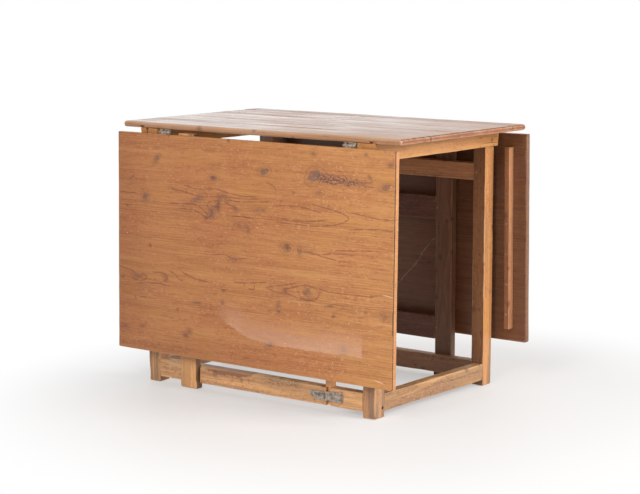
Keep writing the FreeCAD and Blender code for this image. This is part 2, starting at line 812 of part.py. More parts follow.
def leaf_board(side, number):
    """One board of a leaf, in the leaf's own frame, rounded where it is part of the leaf's outline."""
    seam = cell("leaf_seam")
    width = (leaf_width[side] - (LEAF_BOARDS - 1) * seam) / LEAF_BOARDS
    low = hinge_offset + (width + seam) * (number - 1)
    high = low + width
    board = Piece(f"{side}_leaf_board_{number}")
    board.add((-half_length, half_length), (low, high), (hinge_drop, hinge_drop + top_thickness))
    outermost = number == LEAF_BOARDS

    def on_outline(middle, direction):
        at_end = abs(abs(middle.x) - half_length.value) < NEAR and along(direction, "y")
        at_edge = outermost and along(direction, "x") and abs(middle.y - high.value) < NEAR
        return at_end or at_edge

    board.round_edges(cell("edge_round"), on_outline)
    if number == 1:
        for x in hinge_xs().values():
            for along_hinge, from_line in hinge_screw_points:
                reach = (hinge_drop - CUT_PAST, hinge_drop + cell("screw_length"))
                board.bore("z", reach, screw_hole, (own_x(side, x) + along_hinge, from_line))
    bite = cell("batten_screw_length") - cell("batten_depth")
    for name in ENDS:
        for x, y in batten_screw_points(side, name):
            if low.value < y.value < high.value:
                board.bore("z", (hinge_drop - CUT_PAST, hinge_drop + bite), screw_hole, (x, y))
    board.place(leaf_place(side))


def leaf_batten(side, name):
    """The batten across a leaf's boards, on its inner face."""
    batten = Piece(f"{side}_leaf_{name}_batten")
    first = hinge_offset + cell("batten_from_hinge")
    last = hinge_offset + leaf_width[side] - cell("batten_from_edge")
    batten.add(batten_span(side, name), (first, last), (hinge_drop - cell("batten_depth"), hinge_drop))
    batten.round_edges(
        cell("wear_round"),
        lambda middle, direction: along(direction, "y") and middle.z < hinge_drop.value - NEAR,
    )
    through = (hinge_drop - cell("batten_depth") - CUT_PAST, hinge_drop + CUT_PAST)
    for x, y in batten_screw_points(side, name):
        batten.bore("z", through, screw_hole, (x, y))
    batten.place(leaf_place(side))


def screw(face, length, centre):
    """A screw driven upwards from a face: a low round head under it and a plain shank above."""
    x, y = centre
    whole = doc.addObject("Part::Fuse", "screw")
    whole.Base = primitive_rod("z", (face, face + length), cell("screw_radius"), (x, y))
    head = (face - cell("screw_head_height"), face)
    whole.Tool = primitive_rod("z", head, cell("screw_head_radius"), (x, y))
    return whole


def batten_screws(side):
    screws = []
    face = hinge_drop - cell("batten_depth")
    for name in ENDS:
        for centre in batten_screw_points(side, name):
            screws.append(screw(face, cell("batten_screw_length") - cell("screw_end_gap"), centre))
    group(f"{side}_batten_screws", screws, leaf_place(side))


def hinge_plate(label, knuckles, inwards):
    """A hinge plate in its hinge's own frame: a flat plate, necks and the knuckles they carry.

    inwards is -1 for the plate under the top and 1 for the plate on the leaf.
    """
    plate = Piece(label)
    under = hinge_drop - cell("hinge_thickness")
    reach = span(cell("hinge_start"), cell("hinge_reach"), inwards)
    plate.add((-half_hinge, half_hinge), reach, (under, hinge_drop))
    for low, high in knuckles:
        plate.rod("x", (low, high), barrel, (size_of(0), size_of(0)))
        neck_top = hinge_drop - cell("neck_gap")
        plate.add((low, high), span(size_of(0), barrel, inwards), (size_of(0), neck_top))
    bore = cell("hinge_pin_radius") + cell("hinge_pin_clearance")
    plate.bore("x", (-half_hinge - CUT_PAST, half_hinge + CUT_PAST), bore, (size_of(0), size_of(0)))
    for x, y in hinge_screw_points:
        plate.bore("z", (under - CUT_PAST, hinge_drop + CUT_PAST), screw_hole, (x, inwards * y))
    return plate


def build_leaves():
    gap = cell("barrel_gap") / 2
    outer_knuckles = [(-half_hinge, -knuckle_end - gap), (knuckle_end + gap, half_hinge)]
    middle_knuckle = [(-knuckle_end + gap, knuckle_end - gap)]
    pins = []
    under = hinge_drop - cell("hinge_thickness")
    for side in SIDES:
        for number in range(1, LEAF_BOARDS + 1):
            leaf_board(side, number)
        for name in ENDS:
            leaf_batten(side, name)
        batten_screws(side)
        leaf_screws = []
        top_screws = []
        for name, x in hinge_xs().items():
            own = own_x(side, x)
            fixed = hinge_plate(f"{side}_{name}_hinge_top_plate", outer_knuckles, -1)
            fixed.place(hinge_place(side, own.value, 0))
            moving = hinge_plate(f"{side}_{name}_hinge_leaf_plate", middle_knuckle, 1)
            moving.place(leaf_place(side, own.value))
            pin_end = half_hinge + cell("hinge_pin_proud")
            pin = primitive_rod("x", (-pin_end, pin_end), cell("hinge_pin_radius"), (0, 0))
            holder = doc.addObject("Part::Compound", "hinge_pin")
            holder.Links = [pin]
            holder.Placement = hinge_place(side, own.value, 0)
            pins.append(holder)
            for along_hinge, from_line in hinge_screw_points:
                leaf_screws.append(screw(under, cell("screw_length"), (own + along_hinge, from_line)))
                top_screws.append(screw(under, cell("screw_length"), (own + along_hinge, -from_line)))
        group(f"{side}_hinge_leaf_screws", leaf_screws, leaf_place(side))
        group(f"{side}_hinge_top_screws", top_screws, hinge_place(side, 0.0, 0))
    group("hinge_pins", pins, Placement())


def check_and_export():
    """Stop if anything failed, then write one STEP file for each piece."""
    doc.recompute()
    for item in doc.Objects:
        if "Invalid" in item.State or "Error" in item.State:
            raise RuntimeError(f"{item.Label} did not build: {item.State}")
    os.makedirs("parts", exist_ok=True)
    for item in pieces:
        shape = item.Shape
        if shape.isNull() or not shape.isValid() or not shape.Solids:
            raise RuntimeError(f"{item.Label} has no valid solid")
        shape.exportStep(f"parts/{item.Label}.step")
        print(f"{item.Label}: {len(shape.Solids)} solid(s), {shape.Volume:.0f} mm3")
    print(f"{len(pieces)} pieces")


build_top()
build_frame()
build_gates()
build_leaves()
check_and_export()
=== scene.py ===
import itertools
import json
import math
import random

import bmesh
import bpy
import numpy as np
from mathutils import Matrix, Vector


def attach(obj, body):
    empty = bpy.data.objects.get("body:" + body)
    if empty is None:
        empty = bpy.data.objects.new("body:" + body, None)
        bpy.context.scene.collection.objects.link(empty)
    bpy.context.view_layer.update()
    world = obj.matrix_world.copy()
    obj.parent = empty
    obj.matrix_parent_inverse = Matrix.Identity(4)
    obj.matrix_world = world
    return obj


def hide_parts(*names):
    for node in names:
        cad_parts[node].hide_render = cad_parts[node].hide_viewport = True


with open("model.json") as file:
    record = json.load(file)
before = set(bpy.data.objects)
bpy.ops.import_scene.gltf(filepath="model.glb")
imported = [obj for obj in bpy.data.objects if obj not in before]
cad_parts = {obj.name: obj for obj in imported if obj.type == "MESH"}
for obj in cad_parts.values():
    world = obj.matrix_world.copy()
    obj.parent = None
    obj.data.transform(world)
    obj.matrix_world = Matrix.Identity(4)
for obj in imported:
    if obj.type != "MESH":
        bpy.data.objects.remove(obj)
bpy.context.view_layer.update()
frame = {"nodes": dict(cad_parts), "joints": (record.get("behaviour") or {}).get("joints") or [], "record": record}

# A drop-leaf table in old pine: worn timber, forged iron and a plain studio.
# Metres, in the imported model's frame: X along the table, Y from the front leaf to the back one, Z up.

NODES = frame["nodes"]
BODY_OF = {node: body for body, members in frame["record"]["behaviour"]["bodies"].items() for node in members}
SLOT_OF = {part["node"]: part["material_slot"] for part in frame["record"]["subparts"]}
MM = 0.001
AXES = "xyz"
LEAF_LEAN = math.radians(1)  # how far a hanging leaf stands out at its foot
INWARD = {"front": "+y", "back": "-y", "left": "+x", "right": "-x"}  # from each side into the table
OUTWARD = {"front": "-y", "back": "+y", "left": "-x", "right": "+x"}


# ---------------------------------------------------------------- shader arithmetic
class Flow:
    """A number that varies over a surface. Its arithmetic adds the Math nodes that work it out."""

    def __init__(self, finish, socket):
        self.finish = finish
        self.socket = socket

    def __add__(self, other):
        return maths("ADD", self, other)

    def __sub__(self, other):
        return maths("SUBTRACT", self, other)

    def __mul__(self, other):
        return maths("MULTIPLY", self, other)

    def __truediv__(self, other):
        return maths("DIVIDE", self, other)

    def __rsub__(self, other):
        return maths("SUBTRACT", other, self)

    __radd__ = __add__
    __rmul__ = __mul__

    def beside(self, name):
        """Another output of the node that this one comes from."""
        return Flow(self.finish, self.socket.node.outputs[name])


def maths(operation, *terms):
    finish = next(term.finish for term in terms if isinstance(term, Flow))
    return finish.node("Math", {"operation": operation}, dict(enumerate(terms)))


def smooth(value, low, high):
    """0 below low, 1 above high and smooth between. With high below low it falls instead."""
    if high < low:
        return 1 - smooth(value, high, low)
    limits = {"Value": value, "From Min": low, "From Max": high}
    return value.finish.node("MapRange", {"interpolation_type": "SMOOTHSTEP", "clamp": False}, limits)


class Finish:
    """One material, or the world, and the nodes that make it."""

    def __init__(self, name, library=None):
        self.owner = (bpy.data.materials if library is None else library).new(name)
        self.owner.use_nodes = True
        self.tree = self.owner.node_tree
        self.tree.nodes.clear()

    def node(self, kind, settings=None, inputs=None, output=0):
        """Add a node: its settings first, then the values or links of its sockets."""
        made = self.tree.nodes.new(f"ShaderNode{kind}")
        for name, value in (settings or {}).items():
            setattr(made, name, value)
        for name, value in (inputs or {}).items():
            if isinstance(value, Flow):
                self.tree.links.new(value.socket, made.inputs[name])
            else:
                made.inputs[name].default_value = value
        return Flow(self, made.outputs[output]) if len(made.outputs) else None

    def place(self):
        """The x, y and z of a point of the piece, as it stands at rest."""
        spot = self.node("TexCoord", output="Object")
        return {axis: self.node("SeparateXYZ", None, {0: spot}, axis.upper()) for axis in AXES}

    def point(self, x, y, z=0.0):
        return self.node("CombineXYZ", None, {0: x, 1: y, 2: z})

    def noise(self, where, scale=1.0, detail=2.0, roughness=0.5):
        inputs = {"Vector": where, "Scale": scale, "Detail": detail, "Roughness": roughness}
        return self.node("TexNoise", None, inputs)

    def mark(self, name):
        """A number that the mesh holds at each of its points."""
        return self.node("Attribute", {"attribute_name": name}, output="Fac")

    def blend(self, share, under, over, mode="MIX"):
        settings = {"data_type": "RGBA", "blend_type": mode, "clamp_factor": True}
        return self.node("Mix", settings, {0: share, 6: under, 7: over}, 2)

    def bump(self, height, strength, distance):
        return self.node("Bump", None, {"Strength": strength, "Distance": distance, "Height": height})

    def surface(self, **inputs):
        """Close the material with one Principled shader."""
        named = {name.replace("_", " "): value for name, value in inputs.items()}
        return self.close(self.node("BsdfPrincipled", None, named))

    def close(self, shader):
        kind = "World" if isinstance(self.owner, bpy.types.World) else "Material"
        self.node(f"Output{kind}", None, {"Surface": shader})
        return self.owner


def tone(red, green, blue):
    """A colour as it shows on a screen, 0 to 255, as the light that a shader works with."""
    def linear(level):
        share = level / 255
        return share / 12.92 if share <= 0.04045 else ((share + 0.055) / 1.055) ** 2.4
    return (linear(red), linear(green), linear(blue), 1.0)


# ---------------------------------------------------------------- pine
KNOT_GREY = tone(104, 84, 80)
KNOT_PURPLE = tone(118, 72, 60)
KNOT_PALE = tone(168, 128, 100)
KNOT_BROWN = tone(98, 54, 36)
FIGURE_BROWN = tone(120, 60, 38)
BARE_WOOD = tone(212, 166, 116)
OLD_DIRT = tone(62, 38, 28)
FLOOR_GREY = tone(116, 96, 82)
RUBBED_PINK = tone(212, 164, 138)
PAINT_FLECK = tone(246, 208, 170)
PALE_CRACK = tone(255, 222, 160)
# Tints for painted light and shade on the front leaf: lighter towards its right, darker towards its left edge and
# left foot, as the light falls across it.
PAINTED_SHADE_TINT, PAINTED_LIGHT_TINT = (0.78, 0.68, 0.62, 1), (1.10, 1.18, 1.22, 1)
OLD_FINISH = tone(146, 84, 56)
REDDER = (0.88, 0.72, 0.66, 1)
YELLOWER = (1.02, 1.06, 0.84, 1)
KNOT_CELLS = (5.5, 11)  # cells of the grid that knots are strewn on, per metre along and across the grain
RING_DRIFT = 0.012  # how far a ring strays from the pith in each metre of a piece
HOLLOW_DIRT = 0.5
# How much darker the marked arrises are drawn.
RIM_DARKENING = 0.85
COAT_ROUGHNESS = 0.22


def lens(finish, flat, centre, halves, tilt=0.0):
    """0 at the middle of an ellipse that lies tilted on the face, 1 at its rim and more outside it.

    flat holds the place on the face as its x and y, and 1 as its z.
    """
    spread = []
    for way, half in zip(((math.cos(tilt), math.sin(tilt)), (-math.sin(tilt), math.cos(tilt))), halves):
        start = centre[0] * way[0] + centre[1] * way[1]
        row = (way[0] / half, way[1] / half, -start / half)
        spread.append(finish.node("VectorMath", {"operation": "DOT_PRODUCT"}, {0: flat, 1: row}, "Value"))
    return finish.node("VectorMath", {"operation": "LENGTH"}, {0: finish.point(*spread)}, "Value")


def bell(finish, flat, centre, halves, tilt=0.0):
    """1 at a place on the face, falling smoothly to 0 round it."""
    off = lens(finish, flat, centre, halves, tilt)
    return maths("EXPONENT", off * off * -1.0)


def strokes(finish, flat, lines, width):
    """How far a point is from the closest drawn line, each a row of x and z in mm; 1 at a line's rim."""
    nearest = None
    for line in lines:
        for (x0, z0), (x1, z1) in zip(line, line[1:]):
            half = math.hypot(x1 - x0, z1 - z0) / 2 * MM
            middle = ((x0 + x1) / 2 * MM, (z0 + z1) / 2 * MM)
            off = lens(finish, flat, middle, (half * 1.25, width), math.atan2(z1 - z0, x1 - x0))
            nearest = off if nearest is None else maths("MINIMUM", nearest, off)
    return nearest


class Grain:
    """A piece's own directions, and the patterns that its finish is drawn from."""

    def __init__(self, finish, middle, grain, face, rng):
        self.finish = finish
        self.place = finish.place()
        third = next(axis for axis in AXES if axis not in (grain, face))
        ways = [self.place[axis] - middle[AXES.index(axis)] for axis in (grain, face, third)]
        self.along, self.across, self.behind = ways
        self.shift = rng.uniform(-20, 20)
        self.wander = self.noise(2.3, 9, 1.5) - 0.5
        self.waver = self.noise(9, 30) - 0.5
        self.ragged = self.noise(95, 150, 3.0, 0.6) - 0.5

    def noise(self, by_grain, by_width, detail=2.0, roughness=0.5):
        """Noise with its own scale along the grain and across it."""
        across, behind = self.across * by_width, self.behind * by_width
        where = self.finish.point(self.along * by_grain + self.shift, across, behind)
        return self.finish.noise(where, 1.0, detail, roughness)

    def late_wood(self, pith, ring, push):
        """The dark part of each year's ring, plainer in some years than in others."""
        from_pith = self.across - pith[0] + self.wander * 0.03
        under = self.behind - pith[1]
        radius = maths("SQRT", from_pith * from_pith + under * under)
        drift = self.along * RING_DRIFT
        rings = (radius + drift + self.wander * 0.02 + self.waver * 0.0035 + push) / ring
        year = maths("FRACT", rings)
        late = smooth(year, 0.3, 0.9) * smooth(year, 1.0, 0.95)
        strong = self.finish.noise(self.finish.point(rings * 0.23, self.along * 0.7 + self.shift), detail=1.0)
        return late * smooth(strong, 0.3, 0.75)

    def weave(self):
        """Add the finer patterns, from clouds of colour to single fibres."""
        self.fibre = self.noise(14, 520, 3.0, 0.6)
        self.streak = self.noise(2.6, 75, 3.0, 0.6)
        self.cloud = self.noise(5, 9, 3.0, 0.6)
        self.speck = self.noise(60, 230, 1.0)
        self.dash = smooth(self.noise(11, 420, 1.0), 0.66, 0.72) * smooth(self.noise(4, 26, 1.0), 0.5, 0.62)
        self.lick = self.noise(24, 170, 2.0, 0.6)

    def stained(self, late, light, dark, bare, contrast, blotch, crust, cracks):
        """The wood and its old finish, with patches, chips, specks of dirt and drying cracks."""
        blend = self.finish.blend
        colour = blend(late * contrast, light, dark)
        colour = blend(smooth(self.streak, 0.38, 0.75) * 0.4, colour, dark)
        colour = blend(smooth(self.lick, 0.52, 0.72) * 0.35, colour, dark)
        colour = blend(smooth(self.lick, 0.42, 0.26) * 0.22, colour, bare)
        colour = blend(smooth(self.streak, 0.42, 0.25) * 0.2, colour, bare)
        colour = blend(smooth(self.fibre, 0.3, 0.75) * 0.2, colour, half(dark))
        redder = blend(1.0, colour, REDDER, "MULTIPLY")
        colour = blend(smooth(self.cloud, 0.45, 0.68) * blotch, colour, redder)
        yellower = blend(1.0, colour, YELLOWER, "MULTIPLY")
        colour = blend(smooth(self.cloud, 0.52, 0.34) * blotch, colour, yellower)
        patches = smooth(self.cloud + self.streak * 0.6, 0.66, 0.92) * 0.75 + 0.25
        colour = blend(smooth(self.ragged, 0.07, 0.2) * patches * crust, colour, bare)
        colour = blend(smooth(self.ragged, -0.08, -0.2) * patches * crust, colour, half(dark))
        colour = blend(smooth(self.speck, 0.7, 0.76) * 0.4, colour, OLD_DIRT)
        return blend(self.dash * cracks, colour, OLD_DIRT)

    def knotted(self, colour, nearest, shown, dark):
        """Knots with a dark eye and rind, and broken arcs of darker wood round them."""
        blend = self.finish.blend
        halo = smooth(nearest, 2.6, 1.0)
        torn = nearest + self.ragged * 1.4
        eye = smooth(torn, 0.6, 0.2)
        rind = smooth(torn, 0.62, 0.9) * smooth(torn, 1.25, 1.0)
        ripple = maths("SINE", nearest * 8.0 + self.ragged * 4 + self.waver * 14)
        arcs = smooth(ripple, 0.3, 0.95) * smooth(nearest, 3.0, 1.4)
        spot = self.finish.point(self.along * 19 + self.shift, self.across * 19)
        knot = blend(smooth(self.finish.noise(spot), 0.44, 0.58), KNOT_GREY, KNOT_PURPLE)
        knot = blend(smooth(self.ragged, 0.04, 0.2) * 0.6, knot, KNOT_PALE)
        knot = blend(maths("MAXIMUM", eye, rind) * 0.6, knot, KNOT_BROWN)
        colour = blend(halo * 0.2, colour, dark)
        colour = blend(arcs * 0.3, colour, half(dark))
        return blend(shown, colour, knot)


def half(colour):
    return tuple(0.5 * level for level in colour[:3]) + (1,)


def ringed_knots(wood, knots):
    """How near a point is to the closest knot in knot radii, how plainly it shows, and its push on the rings.

    A knot is its place along and across the grain, its two half sizes, its tilt and how plainly it shows.
    """
    flat = wood.finish.point(wood.along, wood.across, 1.0)
    nearest, shown, push = None, None, None
    for u, v, wide, high, tilt, plain in knots:
        closeness = lens(wood.finish, flat, (u, v), (wide, high), tilt)
        shade = smooth(closeness + wood.ragged * 1.5, 1.3, 0.6) * plain
        bulge = bell(wood.finish, flat, (u, v), (3.2 * wide, 2.2 * high), tilt / 2) * (1.1 * high)
        nearest = closeness if nearest is None else maths("MINIMUM", nearest, closeness)
        shown = shade if shown is None else maths("MAXIMUM", shown, shade)
        push = bulge if push is None else push + bulge
    return nearest, shown, push


def scattered_knots(wood, rng, share):
    """The same for knots strewn at random, in about this share of the cells of a loose grid."""
    finish = wood.finish
    per_along, per_across = KNOT_CELLS
    u, v = wood.along * per_along + rng.uniform(0, 40), wood.across * per_across + rng.uniform(0, 40)
    cell = finish.point(u, v)
    settings = {"voronoi_dimensions": "2D", "feature": "F1"}
    inputs = {"Vector": cell, "Scale": 1.0, "Randomness": 0.55}
    found = finish.node("TexVoronoi", settings, inputs, "Position")
    offset = finish.node("VectorMath", {"operation": "SUBTRACT"}, {0: cell, 1: found})
    u = finish.node("SeparateXYZ", None, {0: offset}, "X") / per_along
    v = finish.node("SeparateXYZ", None, {0: offset}, "Y") / per_across
    luck = finish.node("SeparateColor", None, {0: found.beside("Color")}, "Red")
    size = finish.node("SeparateColor", None, {0: found.beside("Color")}, "Green") * (6 * MM) + 3 * MM
    there = smooth(luck, share, share - 0.01)
    radius = size * there + 0.1 * MM
    flat = maths("SQRT", u * u * 0.64 + v * v) / radius
    drawn_out = maths("SQRT", u * u * 0.11 + v * v) / (radius * 1.7)
    push = maths("EXPONENT", drawn_out * drawn_out * -1.0) * radius * 1.5
    nearest = flat + (1 - there) * 50
    return nearest, smooth(nearest + wood.ragged * 1.6, 1.15, 0.8) * 0.8, push


def pine(name, middle, seed, grain, face, light, dark, pith=(0.01, 0.07), ring=4.2 * MM, contrast=0.5,
         knots=(), knot_share=0.25, gloss=0.46, coat=0.0, sheen_streaks=0.0, bare=BARE_WOOD, bareness=0.6,
         blotch=0.35, cracks=0.35, grime=0.0, crust=0.2, dry_end=0.0, inner=None, marks=None):
    """Old pine. Its growth rings lie round a pith beside the piece, so every face shows its own cut.

    middle is the piece's middle, grain the axis along the grain, face the axis across its broad face.
    pith is where the pith lies from the middle, across the face and behind it, and ring how far apart the
    rings are. Knots are given, or strewn with a knot_share. gloss is the roughness, and coat the polish
    that is left, in streaks and less towards a dry_end. bareness is how far the arrises are worn to bare
    wood. inner is a darker tint: painted shade on the faces that look into the table, partly darker old
    wood there, and darker end grain on the ends of the top. crust is how plainly chips and crumbs of the old
    finish show, grime the dirt low down. marks adds a piece's own marks.
    """
    rng = random.Random(seed)
    finish = Finish(name)
    wood = Grain(finish, middle, grain, face, rng)
    nearest, shown, push = ringed_knots(wood, knots) if knots else scattered_knots(wood, rng, knot_share)
    late = wood.late_wood(pith, ring, push)
    wood.weave()
    colour = wood.stained(late, light, dark, bare, contrast, blotch, crust, cracks)
    colour = wood.knotted(colour, nearest, shown, dark)
    worn = finish.mark("worn")
    hollow = finish.mark("hollow")
    if marks:
        colour = marks(wood, colour)
    # Painted shade: faces that look into the table are tinted darker, partly for darker old wood there; the ends
    # of the top are tinted darker as end grain.
    if inner:
        tinted = finish.blend(1.0, colour, inner, "MULTIPLY")
        colour = finish.blend(smooth(finish.mark("inner"), 0.3, 0.7), colour, tinted)
    if grime:
        low_down = smooth(wood.place["z"], 0.2, 0.0)
        stain = smooth(wood.noise(3, 60) + low_down * 0.16, 0.52, 0.68) * (low_down * 0.6 + 0.4)
        colour = finish.blend(stain * grime, colour, FLOOR_GREY)
    clouded, streaked = wood.cloud - 0.5, wood.streak - 0.5
    scuff = smooth(worn + clouded * 0.9 + streaked * 0.6, 0.35, 0.95)
    colour = finish.blend(scuff * bareness, colour, bare)
    colour = finish.blend(smooth(hollow + clouded * 0.4, 0.2, 0.8) * HOLLOW_DIRT, colour, OLD_DIRT)
    # The marked arrises are drawn darker.
    rim = smooth(finish.mark("rim") + wood.ragged * 1.4, 0.35, 0.7)
    colour = finish.blend(rim * RIM_DARKENING, colour, OLD_DIRT)

    dullness = gloss + streaked * 0.22 + scuff * 0.15 + hollow * 0.1 + rim * 0.4
    polished = smooth(wood.streak + clouded * 0.5, 0.35, 0.65) - 0.5
    coating = (coat + polished * sheen_streaks) * (1 - rim)
    if dry_end:
        coating = coating * (1 - smooth(wood.along, 0.05, 0.45) * dry_end)
    pores = smooth(wood.speck, 0.7, 0.76) * 0.4
    relief = wood.fibre * 0.3 + wood.streak * 0.5 - pores - wood.dash + wood.ragged * crust
    if not knots:
        relief = relief + late * 0.45 - shown * 0.4
    normal = finish.bump(relief, 0.3, 0.5 * MM)
    return finish.surface(Base_Color=colour, Roughness=dullness, Normal=normal,
                          Coat_Weight=coating, Coat_Roughness=COAT_ROUGHNESS)


# ---------------------------------------------------------------- worn timber
EDGES = [(a, b, i, j) for a, b in ((0, 1), (0, 2), (1, 2)) for i in (-1, 1) for j in (-1, 1)]
UNEVEN = 0.25  # how far an arris's radius strays from its mean, as a share of it
ARC = [math.tan(math.radians(angle)) for angle in (45, 30, 15, 0)]
SWELL_WAVES = 9
DENT_SIZE = 9 * MM
LONG_SWELL, SHORT_SWELL = 0.35, 0.12  # wavelengths of the swell on a long and on a short side
LONG_SIDE = 0.3


def edge_name(a, b, i, j):
    """An arris by the two faces that meet there, such as -y+z."""
    return "-+"[i > 0] + AXES[a] + "-+"[j > 0] + AXES[b]


def swell(points, lengths, rng):
    """A slow random rise and fall over the points, about -1 to 1, with a wavelength along each axis."""
    total = np.zeros(len(points))
    for _ in range(SWELL_WAVES):
        way = np.array([rng.gauss(0, 1) for _ in range(3)]) * 2 * math.pi / np.array(lengths)
        total += np.sin(points @ way + rng.uniform(0, 2 * math.pi))
    return total / math.sqrt(SWELL_WAVES)


class Timber:
    """A box of wood as a fine grid of points, rounded at its arrises and pressed in by use."""

    def __init__(self, low, high, seed, step=8 * MM, arris=2 * MM, rounds=None, bites=()):
        """rounds gives single arrises a radius of their own.

        bites are local wear: an arris, a place along it, a half width and how much deeper it is worn there.
        """
        self.low = np.array(low, float)
        self.high = np.array(high, float)
        self.random = random.Random(seed)
        self.arris = arris
        self.rounds = rounds or {}
        self.bites = bites
        self.lay_grid([self.lines(axis, step) for axis in range(3)])
        self.worn = np.zeros(len(self.points))
        self.hollow = np.zeros(len(self.points))
        self.rim = np.zeros(len(self.points))
        self.inner = np.zeros(len(self.points))
        self.round_arrises()

    def lines(self, axis, step):
        """Where the grid cuts this axis: close together in each arris and evenly spread between."""
        names = [edge_name(*edge) for edge in EDGES]
        near = []
        for sign in "-+":
            radii = [self.rounds.get(name, self.arris) for name in names if sign + AXES[axis] in name]
            near.append(max(radii) * (1 + UNEVEN))
        first, last = self.low[axis] + near[0], self.high[axis] - near[1]
        between = np.linspace(first, last, max(2, math.ceil((last - first) / step) + 1))
        start = [self.low[axis] + near[0] * (1 - share) for share in ARC[:-1]]
        end = [self.high[axis] - near[1] * (1 - share) for share in reversed(ARC[:-1])]
        return [*start, *between, *end]

    def lay_grid(self, lines):
        """Points and four-sided faces over the box, shared along its edges."""
        number = {}
        points = []
        self.faces = []

        def corner(index):
            if index not in number:
                number[index] = len(points)
                points.append([line[i] for line, i in zip(lines, index)])
            return number[index]

        for axis in range(3):
            u, v = (axis + 1) % 3, (axis + 2) % 3
            for end in (0, len(lines[axis]) - 1):
                for i in range(len(lines[u]) - 1):
                    for j in range(len(lines[v]) - 1):
                        ring = []
                        for a, b in ((i, j), (i + 1, j), (i + 1, j + 1), (i, j + 1)):
                            index = [0, 0, 0]
                            index[axis], index[u], index[v] = end, a, b
                            ring.append(corner(tuple(index)))
                        self.faces.append(ring if end else ring[::-1])
        self.points = np.array(points)

    def round_arrises(self):
        """Turn each square arris into an arc of an uneven radius."""
        for a, b, i, j in EDGES:
            name = edge_name(a, b, i, j)
            along = self.points[:, 3 - a - b]
            base = self.rounds.get(name, self.arris)
            waves = [
                np.sin(along / self.random.uniform(9 * MM, 45 * MM) + self.random.uniform(0, math.tau))
                for _ in range(4)
            ]
            radius = base * (1 + UNEVEN * sum(waves) / len(waves))
            for bitten, place, wide, extra in self.bites:
                if bitten == name:
                    radius = radius + extra * np.exp(-((along - place) / wide) ** 2)
            faces = [(self.low, self.high)[side > 0] for side in (i, j)]
            in_a = np.abs(self.points[:, a] - faces[0][a])
            in_b = np.abs(self.points[:, b] - faces[1][b])
            near = (in_a < radius) & (in_b < radius)
            closeness = 1 - np.maximum(in_a, in_b) / (1.6 * radius + 2 * MM)
            depth = np.minimum(1, radius / (3 * MM))
            self.worn = np.maximum(self.worn, closeness.clip(0, 1) * depth)
            x, y, bound = (radius - in_a)[near], (radius - in_b)[near], radius[near]
            keep = np.maximum(x, y) / np.hypot(x, y)
            self.points[near, a] = faces[0][a] - i * (bound - x * keep)
            self.points[near, b] = faces[1][b] - j * (bound - y * keep)

    def normals(self):
        total = np.zeros_like(self.points)
        faces = np.array(self.faces)
        a, b, c, d = (self.points[faces[:, k]] for k in range(4))
        across = np.cross(c - a, d - b)
        for k in range(4):
            np.add.at(total, faces[:, k], across)
        return total / np.maximum(np.linalg.norm(total, axis=1, keepdims=True), 1e-12)

    def look_inward(self, *ways):
        """Mark the faces that look along these ways, such as +x, to be tinted darker: painted shade where they
        look into the table.
        """
        normals = self.normals()
        for way in ways:
            facing = normals[:, AXES.index(way[1])] * (1 if way[0] == "+" else -1)
            self.inner = np.maximum(self.inner, ((facing - 0.6) / 0.2).clip(0, 1))
        return self

    def press(self, depth, dents, dent_depth=0.7 * MM, field=None, flat=None):
        """Press the faces in: a slow swell and a scatter of dents. Nothing moves outward.

        Boards that are glued edge to edge share the seed of their swell, a field, and keep that axis flat.
        """
        normals = self.normals()
        long_ways = (self.high - self.low > LONG_SIDE) | (field is not None)
        length = np.where(long_ways, LONG_SWELL, SHORT_SWELL)
        source = self.random if field is None else random.Random(field)
        sink = depth * (0.5 + 0.5 * swell(self.points, length, source)).clip(0, 1.5)
        for _ in range(dents):
            centre = self.points[self.random.randrange(len(self.points))]
            size = DENT_SIZE * self.random.uniform(0.5, 1.4)
            mark = np.exp(-(np.linalg.norm(self.points - centre, axis=1) / size) ** 2)
            mark = mark * self.random.uniform(0.3, 1)
            sink = sink + dent_depth * mark
            self.hollow = np.maximum(self.hollow, mark)
        if flat is not None:
            normals[:, flat] = 0
        self.points -= normals * sink[:, None]
        return self

    def piece(self, name, turn=None):
        """The timber as an object, with its wear kept at its points for the finish."""
        mesh = bpy.data.meshes.new(name)
        mesh.from_pydata(self.points.tolist(), [], self.faces)
        for mark in ("worn", "hollow", "rim", "inner"):
            values = getattr(self, mark).astype(np.float32)
            mesh.attributes.new(mark, "FLOAT", "POINT").data.foreach_set("value", values)
        if turn:
            mesh.transform(turn)
        made = bpy.data.objects.new(name, mesh)
        bpy.context.scene.collection.objects.link(made)
        return made


def carve(piece, tool, operation="DIFFERENCE"):
    """Cut a tool's shape out of a piece, or join it on."""
    modifier = piece.modifiers.new("carve", "BOOLEAN")
    modifier.operation = operation
    modifier.solver = "MANIFOLD"
    modifier.object = tool
    graph = bpy.context.evaluated_depsgraph_get()
    carved = bpy.data.meshes.new_from_object(piece.evaluated_get(graph))
    piece.modifiers.clear()
    piece.data = carved
    bpy.data.objects.remove(tool)


def prism(outline, axis, low, high):
    """A tool of this outline, drawn over the other two axes in turn, from low to high along an axis."""
    others = [i for i in range(3) if i != AXES.index(axis)]
    points = []
    for end in (low, high):
        for u, v in outline:
            point = [0, 0, 0]
            point[AXES.index(axis)], point[others[0]], point[others[1]] = end, u, v
            points.append(point)
    count = len(outline)
    faces = [list(range(count)), list(range(2 * count - 1, count - 1, -1))]
    faces += [[i, i + count, (i + 1) % count + count, (i + 1) % count] for i in range(count)]
    mesh = bpy.data.meshes.new("tool")
    mesh.from_pydata(points, [], faces)
    mesh.update()
    tool = bpy.data.objects.new("tool", mesh)
    bpy.context.scene.collection.objects.link(tool)
    turn_outward(mesh)
    return tool


